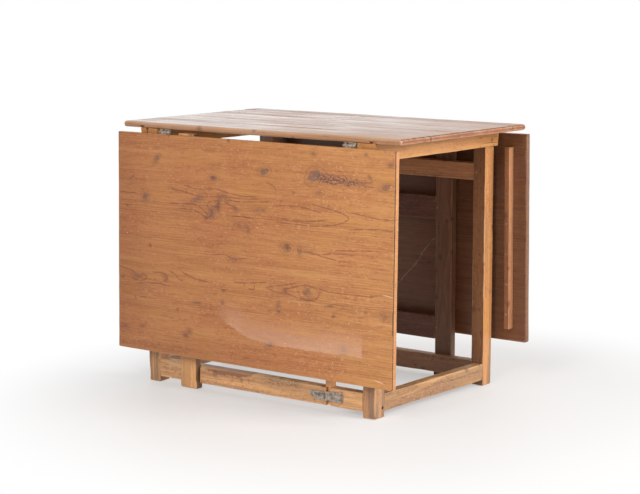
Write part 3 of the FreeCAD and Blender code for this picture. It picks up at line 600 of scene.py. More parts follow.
def rod(axis, low, high, radius, centre, sides=32):
    """A round tool along an axis, about a centre in the other two axes."""
    turns = [math.tau * (i + 0.5) / sides for i in range(sides)]
    outline = [(centre[0] + radius * math.cos(t), centre[1] + radius * math.sin(t)) for t in turns]
    return prism(outline, axis, low, high)


def block(low, high):
    """A tool of this box."""
    (x0, y0, z0), (x1, y1, z1) = low, high
    return prism([(x0, y0), (x1, y0), (x1, y1), (x0, y1)], "z", z0, z1)


def turn_outward(mesh):
    """Make a closed mesh's faces look outward."""
    work = bmesh.new()
    work.from_mesh(mesh)
    bmesh.ops.recalc_face_normals(work, faces=work.faces)
    work.to_mesh(mesh)
    work.free()


CREASE = math.radians(38)  # faces that meet more sharply than this keep a hard edge


def dress(piece, node, material):
    """The piece stands for a node of the frame, with this finish."""
    piece.data.materials.clear()
    piece.data.materials.append(material)
    piece.data.shade_smooth()
    piece.data.set_sharp_from_angle(angle=CREASE)
    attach(piece, BODY_OF[node])
    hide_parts(node)


def own_box(node, turn=Matrix.Identity(4)):
    """A node's lowest and highest corner in a frame that is turned as the node is."""
    back = turn.inverted()
    corners = np.array([back @ vertex.co for vertex in NODES[node].data.vertices])
    return corners.min(0), corners.max(0)


def joint_place(name):
    """Where a joint's axis passes, at rest."""
    return next(joint["pos_m"] for joint in frame["joints"] if joint["name"] == name)


def hanging(side):
    """The turn about its hinge line that takes a leaf from plumb to the way it hangs."""
    line = Vector(joint_place(f"{side}_leaf_hinge"))
    lean = LEAF_LEAN if side == "back" else -LEAF_LEAN
    return Matrix.Translation(line) @ Matrix.Rotation(lean, 4, "X") @ Matrix.Translation(-line)


# ---------------------------------------------------------------- camera, floor and light
FOCAL_LENGTH, SENSOR_WIDTH = 108.474, 36
CAMERA_PLACE = (3.32505, -4.29835, 1.20354)
CAMERA_TILT, CAMERA_TURN = 8.474, 37.802  # degrees, downward and about the vertical
FILL_LIGHT = 0.3
FILL_COLOUR = (1.0, 0.99, 0.98, 1)
WHITE = (1, 1, 1, 1)
FLOOR_LIFT = 0.4  # how much of the floor's white is there even beside the table
FLOOR_COLOUR = tone(228, 226, 224)
FLOOR_ROUGHNESS = 0.55
FLOOR_REACH = 60
SHADOW_MIDDLE = (0.3, -0.06)
FADE_NEAR, FADE_FAR = 0.6, 1.25  # how far from there the floor starts to fade and is white
# Each lamp's place, the point it faces, its two sides and its power in watts.
LAMPS = {
    "side_window": ((4.0, 0.7, 2.2), (0, 0, 0.4), (2.4, 2.0), 190),
    "front_window": ((0.95, -3.1, 1.9), (0.1, 0, 0.4), (1.3, 1.3), 66),
}


def make_camera():
    optics = bpy.data.cameras.new("camera")
    optics.lens = FOCAL_LENGTH
    optics.sensor_width = SENSOR_WIDTH
    optics.clip_end = FLOOR_REACH
    camera = bpy.data.objects.new("camera", optics)
    camera.location = CAMERA_PLACE
    camera.rotation_euler = (math.radians(90 - CAMERA_TILT), 0, math.radians(CAMERA_TURN))
    bpy.context.scene.collection.objects.link(camera)
    bpy.context.scene.camera = camera


def make_lamp(name, place, target, size, power):
    lamp = bpy.data.lights.new(name, "AREA")
    lamp.shape = "RECTANGLE"
    lamp.size, lamp.size_y = size
    lamp.energy = power
    holder = bpy.data.objects.new(name, lamp)
    holder.location = place
    holder.rotation_mode = "QUATERNION"
    holder.rotation_quaternion = (Vector(target) - Vector(place)).to_track_quat("-Z", "Y")
    bpy.context.scene.collection.objects.link(holder)


def seen_by(finish, *rays):
    """1 for the camera's rays and the others named, 0 for those that carry light to the table."""
    camera = finish.node("LightPath", output="Is Camera Ray")
    seen = camera
    for ray in rays:
        seen = maths("MAXIMUM", seen, camera.beside(ray))
    return seen


def make_floor():
    """A pale floor that keeps the table's shadow and fades to white."""
    finish = Finish("studio_floor")
    seen = seen_by(finish, "Is Glossy Ray")
    place = finish.place()
    east = place["x"] - SHADOW_MIDDLE[0]
    north = place["y"] - SHADOW_MIDDLE[1]
    away = maths("SQRT", east * east + north * north)
    lift = smooth(away, FADE_NEAR, FADE_FAR) * (1 - FLOOR_LIFT) + FLOOR_LIFT
    plain = finish.node("BsdfPrincipled", None, {"Base Color": FLOOR_COLOUR, "Roughness": FLOOR_ROUGHNESS})
    white = finish.node("Emission", None, {"Color": WHITE, "Strength": 1.0})
    finish.close(finish.node("MixShader", None, {0: seen * lift, 1: plain, 2: white}))
    mesh = bpy.data.meshes.new("floor")
    corners = [(-FLOOR_REACH, -FLOOR_REACH, 0), (FLOOR_REACH, -FLOOR_REACH, 0),
               (FLOOR_REACH, FLOOR_REACH, 0), (-FLOOR_REACH, FLOOR_REACH, 0)]
    mesh.from_pydata(corners, [], [(0, 1, 2, 3)])
    mesh.materials.append(finish.owner)
    floor = bpy.data.objects.new("floor", mesh)
    bpy.context.scene.collection.objects.link(floor)


def make_surround():
    """A surround that looks white and lights the table evenly and faintly."""
    finish = Finish("surround", bpy.data.worlds)
    seen = seen_by(finish, "Is Glossy Ray", "Is Transmission Ray")
    fill = finish.node("Background", None, {"Color": FILL_COLOUR, "Strength": FILL_LIGHT})
    white = finish.node("Background", None, {"Color": WHITE, "Strength": 1.0})
    finish.close(finish.node("MixShader", None, {0: seen, 1: fill, 2: white}))
    bpy.context.scene.world = finish.owner


# ---------------------------------------------------------------- the looks of each kind of piece
CHIPPED = tone(232, 198, 152)
# Tints of painted shade for the faces of the frame and the gates that look into the table, where the shade falls;
# the old wood there is partly darker too.
FRAME_SHADE = (0.54, 0.50, 0.58, 1)
GATE_TONES = (240, 177, 116), (176, 118, 74)
GATE_SHADE = (0.28, 0.26, 0.33, 1)
BAR_CUT = {"pith": (0.02, 0.04), "ring": 3.4 * MM, "knot_share": 0.12, "contrast": 0.55,
           "bare": CHIPPED, "bareness": 0.7, "grime": 0.25}


def look(grain, face, light, dark, **more):
    """How one kind of piece is cut and coloured: the words that pine takes."""
    return {"grain": grain, "face": face, "light": tone(*light), "dark": tone(*dark), **more}


# Each look's darker tint is painted shade on the faces that look into the table, and darker end grain on the ends
# of the top.
LOOKS = {
    "top_board": look("x", "y", (186, 134, 98), (114, 70, 48), ring=5 * MM, gloss=0.33, sheen_streaks=1.35,
                      dry_end=0.6, contrast=0.8, bareness=0.5, cracks=0.6, inner=(0.60, 0.36, 0.26, 1)),
    "leaf": look("x", "z", (194, 129, 73), (142, 78, 42), ring=6.5 * MM, gloss=0.4, coat=0.1,
                 bareness=0.45, blotch=0.5, inner=(0.40, 0.43, 0.66, 1)),
    "batten": look("z", "y", (180, 126, 88), (130, 82, 54), knot_share=0.1, inner=(0.8, 0.74, 0.76, 1)),
    "leg": look("z", "x", (204, 143, 86), (142, 88, 54), pith=(0.03, 0.05), ring=3.6 * MM, knot_share=0.12,
                contrast=0.7, bareness=0.55, grime=0.6, crust=0.8, inner=FRAME_SHADE),
    "rail": look("x", "z", (218, 154, 108), (162, 106, 72), crust=0.25, **BAR_CUT),
    "stretcher": look("x", "z", (236, 178, 122), (168, 114, 72), crust=0.8, inner=FRAME_SHADE, **BAR_CUT),
    "end_stretcher": look("y", "z", (182, 136, 92), (128, 86, 54), pith=(0.02, 0.05), knot_share=0.1,
                          bareness=0.7, grime=0.25, crust=0.9, inner=FRAME_SHADE),
    "bearer": look("y", "z", (214, 152, 90), (148, 94, 56), pith=(0.01, 0.06), ring=4.5 * MM,
                   knot_share=0.0, contrast=0.45, cracks=0.9, crust=0.35),
    "gate_leg": look("z", "x", *GATE_TONES, pith=(0.005, 0.05), ring=3.5 * MM, knot_share=0.0,
                     contrast=0.6, grime=0.3, crust=0.35, inner=GATE_SHADE),
    "gate_stile": look("z", "x", *GATE_TONES, knot_share=0.05, contrast=0.6, inner=GATE_SHADE),
    # The gate's rails get dark tones as painted shade: they stand in the shade inside the frame.
    "gate_rail": look("x", "z", (142, 90, 62), (98, 58, 40), pith=(0.0, 0.05), knot_share=0.1,
                      contrast=0.6, inner=(0.62, 0.58, 0.66, 1)),
    "peg": look("x", "y", (176, 124, 84), (120, 78, 52), knot_share=0.0),
}
SHEEN = (0.62, 0.68, 0.95, 0.6, 0.1)  # how much polish each board of the top has kept
LEG_TONES = {
    "front_left_leg": {"light": tone(231, 170, 110), "dark": tone(160, 108, 68)},
    "front_right_leg": {"light": tone(190, 138, 94), "dark": tone(132, 90, 60)},
}
IRON_DARK, IRON_LIGHT = tone(112, 98, 86), tone(190, 176, 162)
IRON_RUST, IRON_PIT = tone(126, 88, 62), tone(76, 64, 56)
STEEL_BRIGHT, STEEL_TARNISHED = tone(176, 156, 130), tone(118, 96, 74)


seed = itertools.count(101)  # a new seed for each piece, the same on each run
TOP_SEED, LEAF_SEED, PEG_SEED = 200, 300, 77


def finish_piece(piece, node, kind, middle, **own):
    """Give a piece the pine of its kind, with what is its own, and let it stand for its node."""
    dress(piece, node, pine(f"{node}_pine", middle, next(seed), **LOOKS[kind], **own))


# ---------------------------------------------------------------- the top
TOP_BOARDS = len(SHEEN)
END_ROUND = 6.5 * MM
CORNER_ROUND = 4 * MM
SEAM_ROUND = 0.6 * MM
TOP_RIM = 0.75  # how dark the arris above a board's end is
TONGUE_WIDTH, TONGUE_SLOPE, TONGUE_HEIGHT = 17 * MM, 2 * MM, 6.5 * MM
GROOVE_CLEARANCE = 0.2 * MM
BEYOND = 0.01  # how far a tool reaches past what it cuts


def end_rounds(radius):
    """The four arrises across a board's two ends."""
    return {f"{i}x{j}z": radius for i in "-+" for j in "-+"}


def dovetail(node, clearance):
    """A bearer's tongue in X and Z, from its node's top, widened by a clearance."""
    low, high = own_box(node)
    outward = -1 if low[0] < 0 else 1
    outer = low[0] if outward < 0 else high[0]
    centre = outer - outward * TONGUE_WIDTH / 2
    foot = TONGUE_WIDTH / 2 - TONGUE_SLOPE + clearance
    head = foot + TONGUE_SLOPE
    base = high[2] - TONGUE_HEIGHT
    return [(centre - foot, base - clearance), (centre + foot, base - clearance),
            (centre + head, high[2] + clearance), (centre - head, high[2] + clearance)]


def top_boards():
    for number in range(1, TOP_BOARDS + 1):
        node = f"top_board_{number}"
        low, high = own_box(node)
        rounds = end_rounds(END_ROUND)
        outer = {1: "-y", TOP_BOARDS: "+y"}.get(number)
        if outer:
            rounds.update({f"{outer}-z": END_ROUND, f"{outer}+z": END_ROUND})
            rounds.update({f"-x{outer}": CORNER_ROUND, f"+x{outer}": CORNER_ROUND})
        board = Timber(low, high, next(seed), step=9 * MM, arris=SEAM_ROUND, rounds=rounds)
        normals = board.normals()
        board.rim = ((np.abs(normals[:, 0]) > 0.3) & (normals[:, 2] > 0.5)) * TOP_RIM
        board.look_inward("+x", "-x").press(depth=0.5 * MM, dents=26)
        piece = board.piece(f"{node}_timber")
        for name in ("left", "right"):
            groove = dovetail(f"{name}_bearer", GROOVE_CLEARANCE)
            carve(piece, prism(groove, "y", low[1] - BEYOND, high[1] + BEYOND))
        pith = ((number % 2 - 0.5) * 0.05, -0.05 - 0.01 * number)
        finish = pine(f"{node}_pine", (low + high) / 2, TOP_SEED + number, pith=pith,
                      coat=SHEEN[number - 1], **LOOKS["top_board"])
        dress(piece, node, finish)


# ---------------------------------------------------------------- the leaves
# A knot: x and z, its half width and half height in mm, its tilt in degrees and how plainly it shows.
FRONT_KNOTS = [
    (-338, 651, 13, 6, 48, 0.7), (-127, 612, 12, 6, 0, 1.0), (-382, 541, 10, 10, 0, 0.75),
    (-186, 549, 24, 6, 22, 0.6), (-93, 561, 13, 9, -10, 0.5), (-134, 514, 20, 11, 55, 0.6),
    (-152, 501, 9, 5, 0, 0.7), (-108, 538, 5, 20, 0, 0.5), (-48, 532, 9, 5, -20, 0.5),
    (-2, 479, 5, 7, 0, 0.6), (-30, 488, 26, 6, 0, 0.25), (51, 641, 15, 8, 15, 0.85),
    (50, 537, 5, 3, 0, 0.7), (30, 536, 12, 6, 0, 0.3), (223, 641, 21, 14, 22, 0.8),
    (240, 600, 11, 5, 0, 0.45), (220, 699, 8, 5, 0, 0.5), (391, 707, 5, 3, 0, 0.7),
    (470, 685, 9, 5, 10, 0.6), (457, 627, 14, 7, 10, 0.75), (132, 442, 14, 11, 0, 0.4),
    (176, 438, 8, 9, 0, 0.6), (200, 437, 16, 3, 0, 0.45), (205, 331, 8, 10, 0, 0.65),
    (205, 311, 16, 4, 5, 0.4), (-55, 395, 14, 6, 0, 0.3), (-408, 313, 18, 6, 0, 0.45),
    (-305, 317, 9, 5, -40, 0.4), (105, 286, 5, 12, 0, 0.4), (106, 268, 7, 3, 0, 0.85),
    (-92, 269, 5, 5, 0, 0.55), (-228, 162, 9, 5, 0, 0.7), (-213, 175, 7, 6, 0, 0.45),
    (-392, 170, 9, 3, 15, 0.55), (-459, 163, 9, 4, -10, 0.5), (75, 174, 9, 7, 0, 0.75),
    (326, 190, 11, 8, 0, 0.55), (459, 293, 10, 9, 0, 0.4), (291, 274, 5, 3, 10, 0.9),
    (278, 300, 9, 3, 10, 0.5), (128, 328, 6, 5, 0, 0.5), (398, 295, 3, 3, 0, 0.6),
    (-259, 232, 3, 3, 0, 0.7), (-190, 259, 12, 2, 5, 0.6),
]
# The dark lines of the front leaf's figure, each a row of x and z in mm.
FIGURE = [
    [(-240, 585), (-200, 578), (-160, 577), (-120, 582), (-70, 574), (-20, 569), (30, 572)],
    [(-290, 573), (-230, 566), (-195, 559), (-150, 558), (-105, 562)],
    [(-290, 530), (-245, 532), (-205, 535), (-182, 531), (-163, 519), (-146, 509)],
    [(-262, 518), (-200, 519), (-176, 511), (-150, 500), (-136, 506)],
    [(-136, 508), (-133, 518), (-148, 531), (-146, 543), (-128, 549), (-100, 550)],
    [(-109, 556), (-107, 538), (-111, 519)], [(-82, 549), (-62, 541), (-44, 534)],
    [(-78, 554), (-30, 553), (30, 558), (80, 562)], [(-75, 562), (-20, 562), (40, 567)],
    [(-65, 511), (-25, 513), (20, 510)], [(88, 552), (130, 556), (172, 556), (212, 552), (246, 546)],
    [(232, 563), (282, 557), (312, 550), (334, 543), (338, 534), (322, 528)],
    [(100, 521), (142, 517), (190, 518), (232, 523), (268, 528)],
    [(98, 509), (150, 508), (205, 507), (245, 509), (284, 515), (318, 524)],
    [(352, 553), (400, 547), (440, 543), (484, 545)], [(340, 508), (392, 514), (440, 517), (484, 515)],
    [(212, 432), (248, 434), (285, 440), (335, 443), (358, 442)],
    [(215, 436), (256, 429), (305, 423), (345, 421)], [(300, 450), (372, 455), (436, 461)],
    [(-48, 330), (0, 333), (32, 338), (62, 342)], [(62, 328), (92, 335), (126, 341), (168, 352)],
    [(64, 326), (96, 318), (150, 315)], [(126, 330), (150, 336), (180, 345), (206, 349), (232, 342)],
    [(126, 327), (136, 319), (168, 312)],
    [(172, 330), (178, 316), (198, 307), (222, 309), (240, 320), (243, 332)],
    [(238, 342), (290, 337), (345, 338), (402, 339), (440, 345)], [(-484, 334), (-440, 328), (-420, 320)],
    [(-396, 322), (-378, 318), (-377, 306), (-400, 300), (-432, 303)],
    [(-352, 329), (-316, 331), (-300, 325), (-297, 313), (-312, 307)],
    [(-288, 338), (-268, 331), (-256, 319), (-240, 314)],
    [(-242, 340), (-216, 331), (-190, 325), (-140, 321)],
    [(-416, 291), (-376, 296), (-330, 299), (-298, 296)], [(-478, 550), (-440, 549), (-416, 550)],
    [(-426, 598), (-442, 587)], [(60, 612), (84, 606), (94, 592)], [(352, 636), (385, 625), (424, 624)],
    [(252, 640), (276, 633), (300, 637), (326, 629), (348, 632)], [(262, 648), (296, 645), (322, 638)],
    [(254, 630), (284, 626), (312, 630), (340, 624)], [(362, 637), (384, 634), (410, 637)],
    [(-130, 400), (-84, 404), (-52, 394), (-10, 400)], [(0, 318), (20, 317), (21, 330)],
    [(-404, 253), (-380, 255)], [(-16, 124), (4, 126)], [(62, 264), (82, 267)], [(-60, 118), (-54, 140)],
]
# Pale scratches and flecks of old paint on the front leaf.
SCRATCHES = [
    [(430, 121), (456, 116)], [(454, 348), (480, 345)], [(-452, 432), (-450, 434)], [(129, 183), (132, 183)],
    [(438, 186), (441, 186)], [(290, 150), (293, 151)], [(341, 262), (344, 262)], [(241, 368), (243, 368)],
    [(-97, 338), (-95, 338)], [(248, 602), (250, 602)], [(262, 593), (264, 593)], [(468, 629), (472, 630)],
    [(-395, 683), (-393, 684)], [(30, 487), (33, 488)],
]
FIGURE_WIDTH, SCRATCH_WIDTH = 2.1 * MM, 1.1 * MM
LARGEST_KNOT = (0.235, 0.637)
COMET_LENGTH = 0.175
COMET_SLOPE = 0.05
RUBBED_FOOT = 0.171  # the lowest height of the rubbed band
RUBBED_END = 0.386
KNOT_SHARPNESS = 0.86
OUTER_TRIM = 0.1 * MM  # keeps a leaning leaf's outer face inside its node's box


def front_leaf_marks(wood, colour):
    """Figure lines, the comet by the big knot, the rubbed band, painted light and shade, the flecks."""
    finish, ragged = wood.finish, wood.ragged
    x, z = wood.place["x"], wood.place["z"]
    clouded = wood.cloud - 0.5
    flat = finish.point(x + clouded * 6 * MM, z + (wood.streak - 0.5) * 2 * MM, 1.0)
    drawn = smooth(strokes(finish, flat, FIGURE, FIGURE_WIDTH) + ragged * 1.2, 1.3, 0.5)
    colour = finish.blend(drawn * 0.62, colour, FIGURE_BROWN)

    past_knot = x - LARGEST_KNOT[0]
    along = past_knot * (1 / COMET_LENGTH)
    off = maths("ABSOLUTE", z - LARGEST_KNOT[1] + past_knot * COMET_SLOPE) + along * 7 * MM
    tail = smooth(along, -0.05, 0.02) * smooth(along, 1.1, 0.6)
    tail = tail * smooth(off + ragged * 0.02, 19 * MM, 8 * MM)
    flecks = finish.noise(finish.point(x * 120, z * 190), 1.0, 2.0)
    colour = finish.blend(tail * 0.25, colour, KNOT_GREY)
    colour = finish.blend(tail * smooth(flecks, 0.48, 0.56) * 0.9, colour, KNOT_BROWN)

    lowest = maths("MAXIMUM", x * -0.35, 0.0) + maths("MAXIMUM", 0.07 - x, 0.0) * 0.1 + RUBBED_FOOT
    height = z - lowest + ragged * 6 * MM
    low_line = smooth(height, -1 * MM, 5 * MM) * smooth(height, 0.03, 0.008)
    rubbed = smooth(height, -1 * MM, 6 * MM) * smooth(height + clouded * 0.06, 0.085, 0.02)
    within = smooth(x + clouded * 0.06, -0.12, -0.03)
    within = within * smooth(x + ragged * 4 * MM, RUBBED_END + 3 * MM, RUBBED_END - 3 * MM)
    patchy = smooth(wood.cloud + wood.streak * 0.5, 0.55, 0.88) * 0.7 + 0.3
    rubbed = maths("MAXIMUM", rubbed * 0.44, low_line * 0.54) * patchy
    colour = finish.blend(rubbed * within, colour, RUBBED_PINK)

    # Painted light and shade: lighter towards the right, darker towards the left edge and the left foot, as the
    # light falls across the leaf.
    edge = smooth(x + clouded * 0.12, -0.34, -0.486)
    foot = smooth(z + clouded * 0.08, 0.185, 0.11) * smooth(x, 0.5, 0.0)
    lighter = finish.blend(1.0, colour, PAINTED_LIGHT_TINT, "MULTIPLY")
    colour = finish.blend(smooth(x + clouded * 0.3, 0.0, 0.45), colour, lighter)
    darker = finish.blend(1.0, colour, PAINTED_SHADE_TINT, "MULTIPLY")
    painted_shade = maths("MAXIMUM", edge, foot * 0.6) * 0.7 + smooth(x + clouded * 0.2, 0.2, -0.45) * 0.2
    colour = finish.blend(painted_shade, colour, darker)
    paint = smooth(strokes(finish, flat, SCRATCHES, SCRATCH_WIDTH) + ragged, 1.3, 0.6)
    return finish.blend(paint * 0.65, colour, PAINT_FLECK)


CRACK = [(20, 245), (48, 259), (81, 293), (88, 299), (120, 332), (128, 354), (163, 393), (182, 402)]
CRACK_WIDTH = 1.4 * MM


def back_leaf_marks(wood, colour):
    """A pale crack that runs down over the face that looks into the table."""
    finish = wood.finish
    x = wood.place["x"] + (wood.cloud - 0.5) * 20 * MM
    z = wood.place["z"] + (wood.streak - 0.5) * 10 * MM
    line = strokes(finish, finish.point(x, z, 1.0), [CRACK], CRACK_WIDTH)
    line = smooth(line + wood.ragged * 2.5, 1.2, 0.5)
    return finish.blend(line * finish.mark("inner") * 0.8, colour, PALE_CRACK)


LEAF_CUTS = {
    "front": {"pith": (0.9, 0.2), "contrast": 0.42, "crust": 0.45, "marks": front_leaf_marks},
    "back": {"pith": (0.125, -0.085), "contrast": 0.6, "crust": 0.15, "marks": back_leaf_marks},
}
LEAF_SWELL_SEEDS = {"front": 11, "back": 12}
END_ARRIS, HEAD_ARRIS, FOOT_ARRIS, FOOT_CORNER = 3 * MM, 1.6 * MM, 3 * MM, 5 * MM
LEAF_SEAM_ROUND, LEAF_END_ROUND = 0.2 * MM, 0.3 * MM


def leaf_boards(side):
    turn = hanging(side)
    corners = [own_box(f"{side}_leaf_board_{number}", turn) for number in (1, 2, 3)]
    middle = (corners[0][1] + corners[2][0]) / 2
    front = side == "front"
    behind = 1 if front else -1
    knots = []
    for x, z, wide, high, tilt, plain in FRONT_KNOTS if front else ():
        centre = (x * MM - middle[0], z * MM - middle[2])
        knots.append((*centre, wide * MM, high * MM, math.radians(tilt), plain * KNOT_SHARPNESS))
    finish = pine(f"{side}_leaf_pine", middle, LEAF_SEED + behind, knots=knots, **LOOKS["leaf"],
                  **LEAF_CUTS[side])
    for number, (low, high) in zip((1, 2, 3), corners):
        node = f"{side}_leaf_board_{number}"
        if front:
            low[1] += OUTER_TRIM
        else:
            high[1] -= OUTER_TRIM
        rounds = end_rounds(LEAF_END_ROUND)
        rounds.update({f"{i}x{j}y": END_ARRIS for i in "-+" for j in "-+"})
        if number == 1:
            rounds.update({"-y+z": HEAD_ARRIS, "+y+z": HEAD_ARRIS})
        if number == 3:
            rounds.update({"-y-z": FOOT_ARRIS, "+y-z": FOOT_ARRIS, "-x-z": FOOT_CORNER, "+x-z": FOOT_CORNER})
        board = Timber(low, high, next(seed), step=10 * MM, arris=LEAF_SEAM_ROUND, rounds=rounds)
        # The arrises round the boards' ends on the outer face are drawn darker.
        normals = board.normals()
        at_arris = (np.abs(normals[:, 0]) > 0.25) & (normals[:, 1] * -behind > 0.25)
        board.rim = at_arris.astype(float)
        unworn = at_arris if front else np.abs(normals[:, 0]) > 0.25
        board.worn = np.where(unworn, 0, board.worn)
        board.look_inward(*(("+y",) if front else ("-y", "+x")))
        board.press(depth=0.35 * MM, dents=26, dent_depth=0.4 * MM, field=LEAF_SWELL_SEEDS[side],
                    flat=AXES.index("z"))
        dress(board.piece(f"{node}_timber", turn), node, finish)
    for name in ("left", "right"):
        node = f"{side}_leaf_{name}_batten"
        low, high = own_box(node, turn)
        batten = Timber(low, high, next(seed), arris=1.6 * MM).press(depth=0.4 * MM, dents=8)
        batten.look_inward(INWARD[side])
        finish_piece(batten.piece(f"{node}_timber", turn), node, "batten", (low + high) / 2)


# ---------------------------------------------------------------- the frame
LEG_FOOT_ARRIS = 4 * MM
CHIPS_PER_ARRIS = 5
CHIP_WIDTH, CHIP_DEPTH = (8, 26), (0.5, 2.2)  # the least and the most, in mm
END_BAR_BITES = 6
BITE_WIDTH, BITE_DEPTH = (15, 50), (1, 4)  # the least and the most, in mm
# The empty peg hole in the front right leg: its radius, depth, height and distance from the leg's back.
PEG_HOLE, PEG_HOLE_DEPTH, PEG_HOLE_HEIGHT, PEG_HOLE_INSET = 4.5 * MM, 7 * MM, 27 * MM, 9 * MM
SEAT_CLEARANCE = np.array([1, 0.3, 0]) * MM  # round the gate leg where it sits in the rails
FOOT_PIN, HEAD_PIN, SHANK_HALF = 7.5 * MM, 6 * MM, 10 * MM
PIN_CLEARANCE = 0.3 * MM
NOTCH_REACH, NOTCH_LOW, NOTCH_HIGH = 0.1, -0.1, 0.2  # the notch's tool, well past the stretcher all round
OLD_FINISH_PLACE, OLD_FINISH_HALVES = (-0.12, 0.073), (0.1, 0.021)  # the lens of old finish in x and z
BEARER_SLOPE, BEARER_ARRIS = 6 * MM, 3 * MM
TONGUE_INSET, TONGUE_ROOT = 8 * MM, 3 * MM  # how far it stops short of the beam's ends and starts inside it
SPLIT_FROM_EDGE, SPLIT_WIDTH, SPLIT_HEIGHT, SPLIT_DEPTH = 18 * MM, 13 * MM, 30 * MM, 35 * MM


def leg_post(side, end):
    node = f"{side}_{end}_leg"
    bites = LEG_BITES.get(node, [])
    low, high = own_box(node)
    high[2] = own_box("left_bearer")[0][2]
    foot = {f"{i}{axis}-z": LEG_FOOT_ARRIS for axis in "xy" for i in "-+"}
    rng = random.Random(next(seed))
    for i in "-+":
        for j in "-+":
            for _ in range(CHIPS_PER_ARRIS):
                place, wide = rng.uniform(0, high[2]), rng.uniform(*CHIP_WIDTH) * MM
                bites = [*bites, (f"{i}x{j}y", place, wide, rng.uniform(*CHIP_DEPTH) * MM)]
    post = Timber(low, high, next(seed), step=6 * MM, arris=2.2 * MM, rounds=foot, bites=bites)
    post.press(depth=0.8 * MM, dents=30)
    post.look_inward(INWARD[end], INWARD[side])
    piece = post.piece(f"{node}_timber")
    if node == "front_right_leg":
        centre = (high[1] - PEG_HOLE_INSET, PEG_HOLE_HEIGHT)
        carve(piece, rod("x", high[0] - PEG_HOLE_DEPTH, high[0] + BEYOND, PEG_HOLE, centre, 14))
    own = LEG_TONES.get(node, {})
    dress(piece, node, pine(f"{node}_pine", (low + high) / 2, next(seed), **{**LOOKS["leg"], **own}))


def stretcher_marks(wood, colour):
    """A lens of the old dark finish under the upper arris, and chips of it further along."""
    finish = wood.finish
    x, z = wood.place["x"], wood.place["z"]
    old = lens(finish, finish.point(x, z, 1.0), OLD_FINISH_PLACE, OLD_FINISH_HALVES)
    colour = finish.blend(smooth(old + wood.ragged * 0.4, 1.06, 0.94) * 0.8, colour, OLD_FINISH)
    chips = finish.noise(finish.point(x * 230, z * 330), 1.0, 2.0)
    band = smooth(x, 0.0, 0.05) * smooth(x, 0.16, 0.13) * smooth(z, 0.035, 0.066)
    return finish.blend(band * smooth(chips, 0.46, 0.56) * 0.8, colour, OLD_DIRT)


def long_bar(side, kind, node, worn_top, bites=(), marks=None):
    """A rail or stretcher between the legs of a side, with the gate leg's seat cut in it."""
    low, high = own_box(node)
    low[0] = own_box(f"{side}_left_leg")[1][0]
    high[0] = own_box(f"{side}_right_leg")[0][0]
    rounds = {f"{OUTWARD[side]}+z": worn_top}
    bar = Timber(low, high, next(seed), step=6 * MM, rounds=rounds, bites=bites)
    bar.press(depth=0.8 * MM, dents=30).look_inward(INWARD[side])
    piece = bar.piece(f"{node}_timber")
    seat_low, seat_high = own_box(f"{side}_gate_leg")
    room = SEAT_CLEARANCE + np.array([0, 0, 1.0])
    carve(piece, block(seat_low - room, seat_high + room))
    if kind == "stretcher":
        x, y = joint_place(f"{side}_gate_pivot")[:2]
        notch = FOOT_PIN + PIN_CLEARANCE
        near, far = sorted((y, y + (-NOTCH_REACH if side == "front" else NOTCH_REACH)))
        carve(piece, block((x - notch, near, NOTCH_LOW), (x + notch, far, NOTCH_HIGH)))
        carve(piece, rod("z", NOTCH_LOW, NOTCH_HIGH, notch, (x, y)))
    finish_piece(piece, node, kind, (low + high) / 2, marks=marks)


def end_bar(end):
    node = f"{end}_end_stretcher"
    low, high = own_box(node)
    low[1] = own_box(f"front_{end}_leg")[1][1]
    high[1] = own_box(f"back_{end}_leg")[0][1]
    rng = random.Random(next(seed))
    bites = []
    for _ in range(END_BAR_BITES):
        place, wide = rng.uniform(low[1], high[1]), rng.uniform(*BITE_WIDTH) * MM
        bites.append((f"{OUTWARD[end]}+z", place, wide, rng.uniform(*BITE_DEPTH) * MM))
    bar = Timber(low, high, next(seed), step=6 * MM, arris=2.5 * MM, bites=bites)
    bar.press(depth=0.8 * MM, dents=24).look_inward(INWARD[end])
    finish_piece(bar.piece(f"{node}_timber"), node, "end_stretcher", (low + high) / 2)


def bearer(end):
    node = f"{end}_bearer"
    low, high = own_box(node)
    top = high[2] - TONGUE_HEIGHT
    beam_high = np.array([high[0], high[1], top])
    rounds = {"-x-z": BEARER_ARRIS, "+x-z": BEARER_ARRIS}
    beam = Timber(low, beam_high, next(seed), step=7 * MM, arris=1.5 * MM, rounds=rounds)
    beam.press(depth=0.5 * MM, dents=24)
    slope = BEARER_SLOPE * (top - beam.points[:, 2]) / (top - low[2])
    beam.points[:, 1] -= np.sign(beam.points[:, 1]) * slope * (np.abs(beam.points[:, 1]) / high[1])
    piece = beam.piece(f"{node}_timber")
    reach = high[1] - TONGUE_INSET
    outline = dovetail(node, 0)
    for corner in (0, 1):
        outline[corner] = (outline[corner][0], top - TONGUE_ROOT)
    carve(piece, prism(outline, "y", -reach, reach), "UNION")
    if end == "left":
        edge = low[0] + SPLIT_FROM_EDGE
        tip = (edge + SPLIT_WIDTH / 2, top - SPLIT_HEIGHT)
        wedge = [(edge, top + BEYOND), tip, (edge + SPLIT_WIDTH, top + BEYOND)]
        carve(piece, prism(wedge, "y", -high[1] - BEYOND, -high[1] + SPLIT_DEPTH))
    finish_piece(piece, node, "bearer", (low + high) / 2)


# ---------------------------------------------------------------- the gates
GATE_FOOT_ARRIS = 5 * MM
WAIST_START, WAIST_LENGTH = 14 * MM, 16 * MM  # where a gate leg narrows above its foot
HINGE_SIDE_WAIST, FREE_SIDE_WAIST = 4 * MM, 1 * MM
STILE_FOOT = 88 * MM
STILE_GAP = 2 * MM
SHANK_LAP, PIN_LAP = 4 * MM, 3 * MM  # how far the shank and the pins reach into each other and the square
RAIL_LAP = 4 * MM  # how far a gate's rail reaches into its narrowed leg


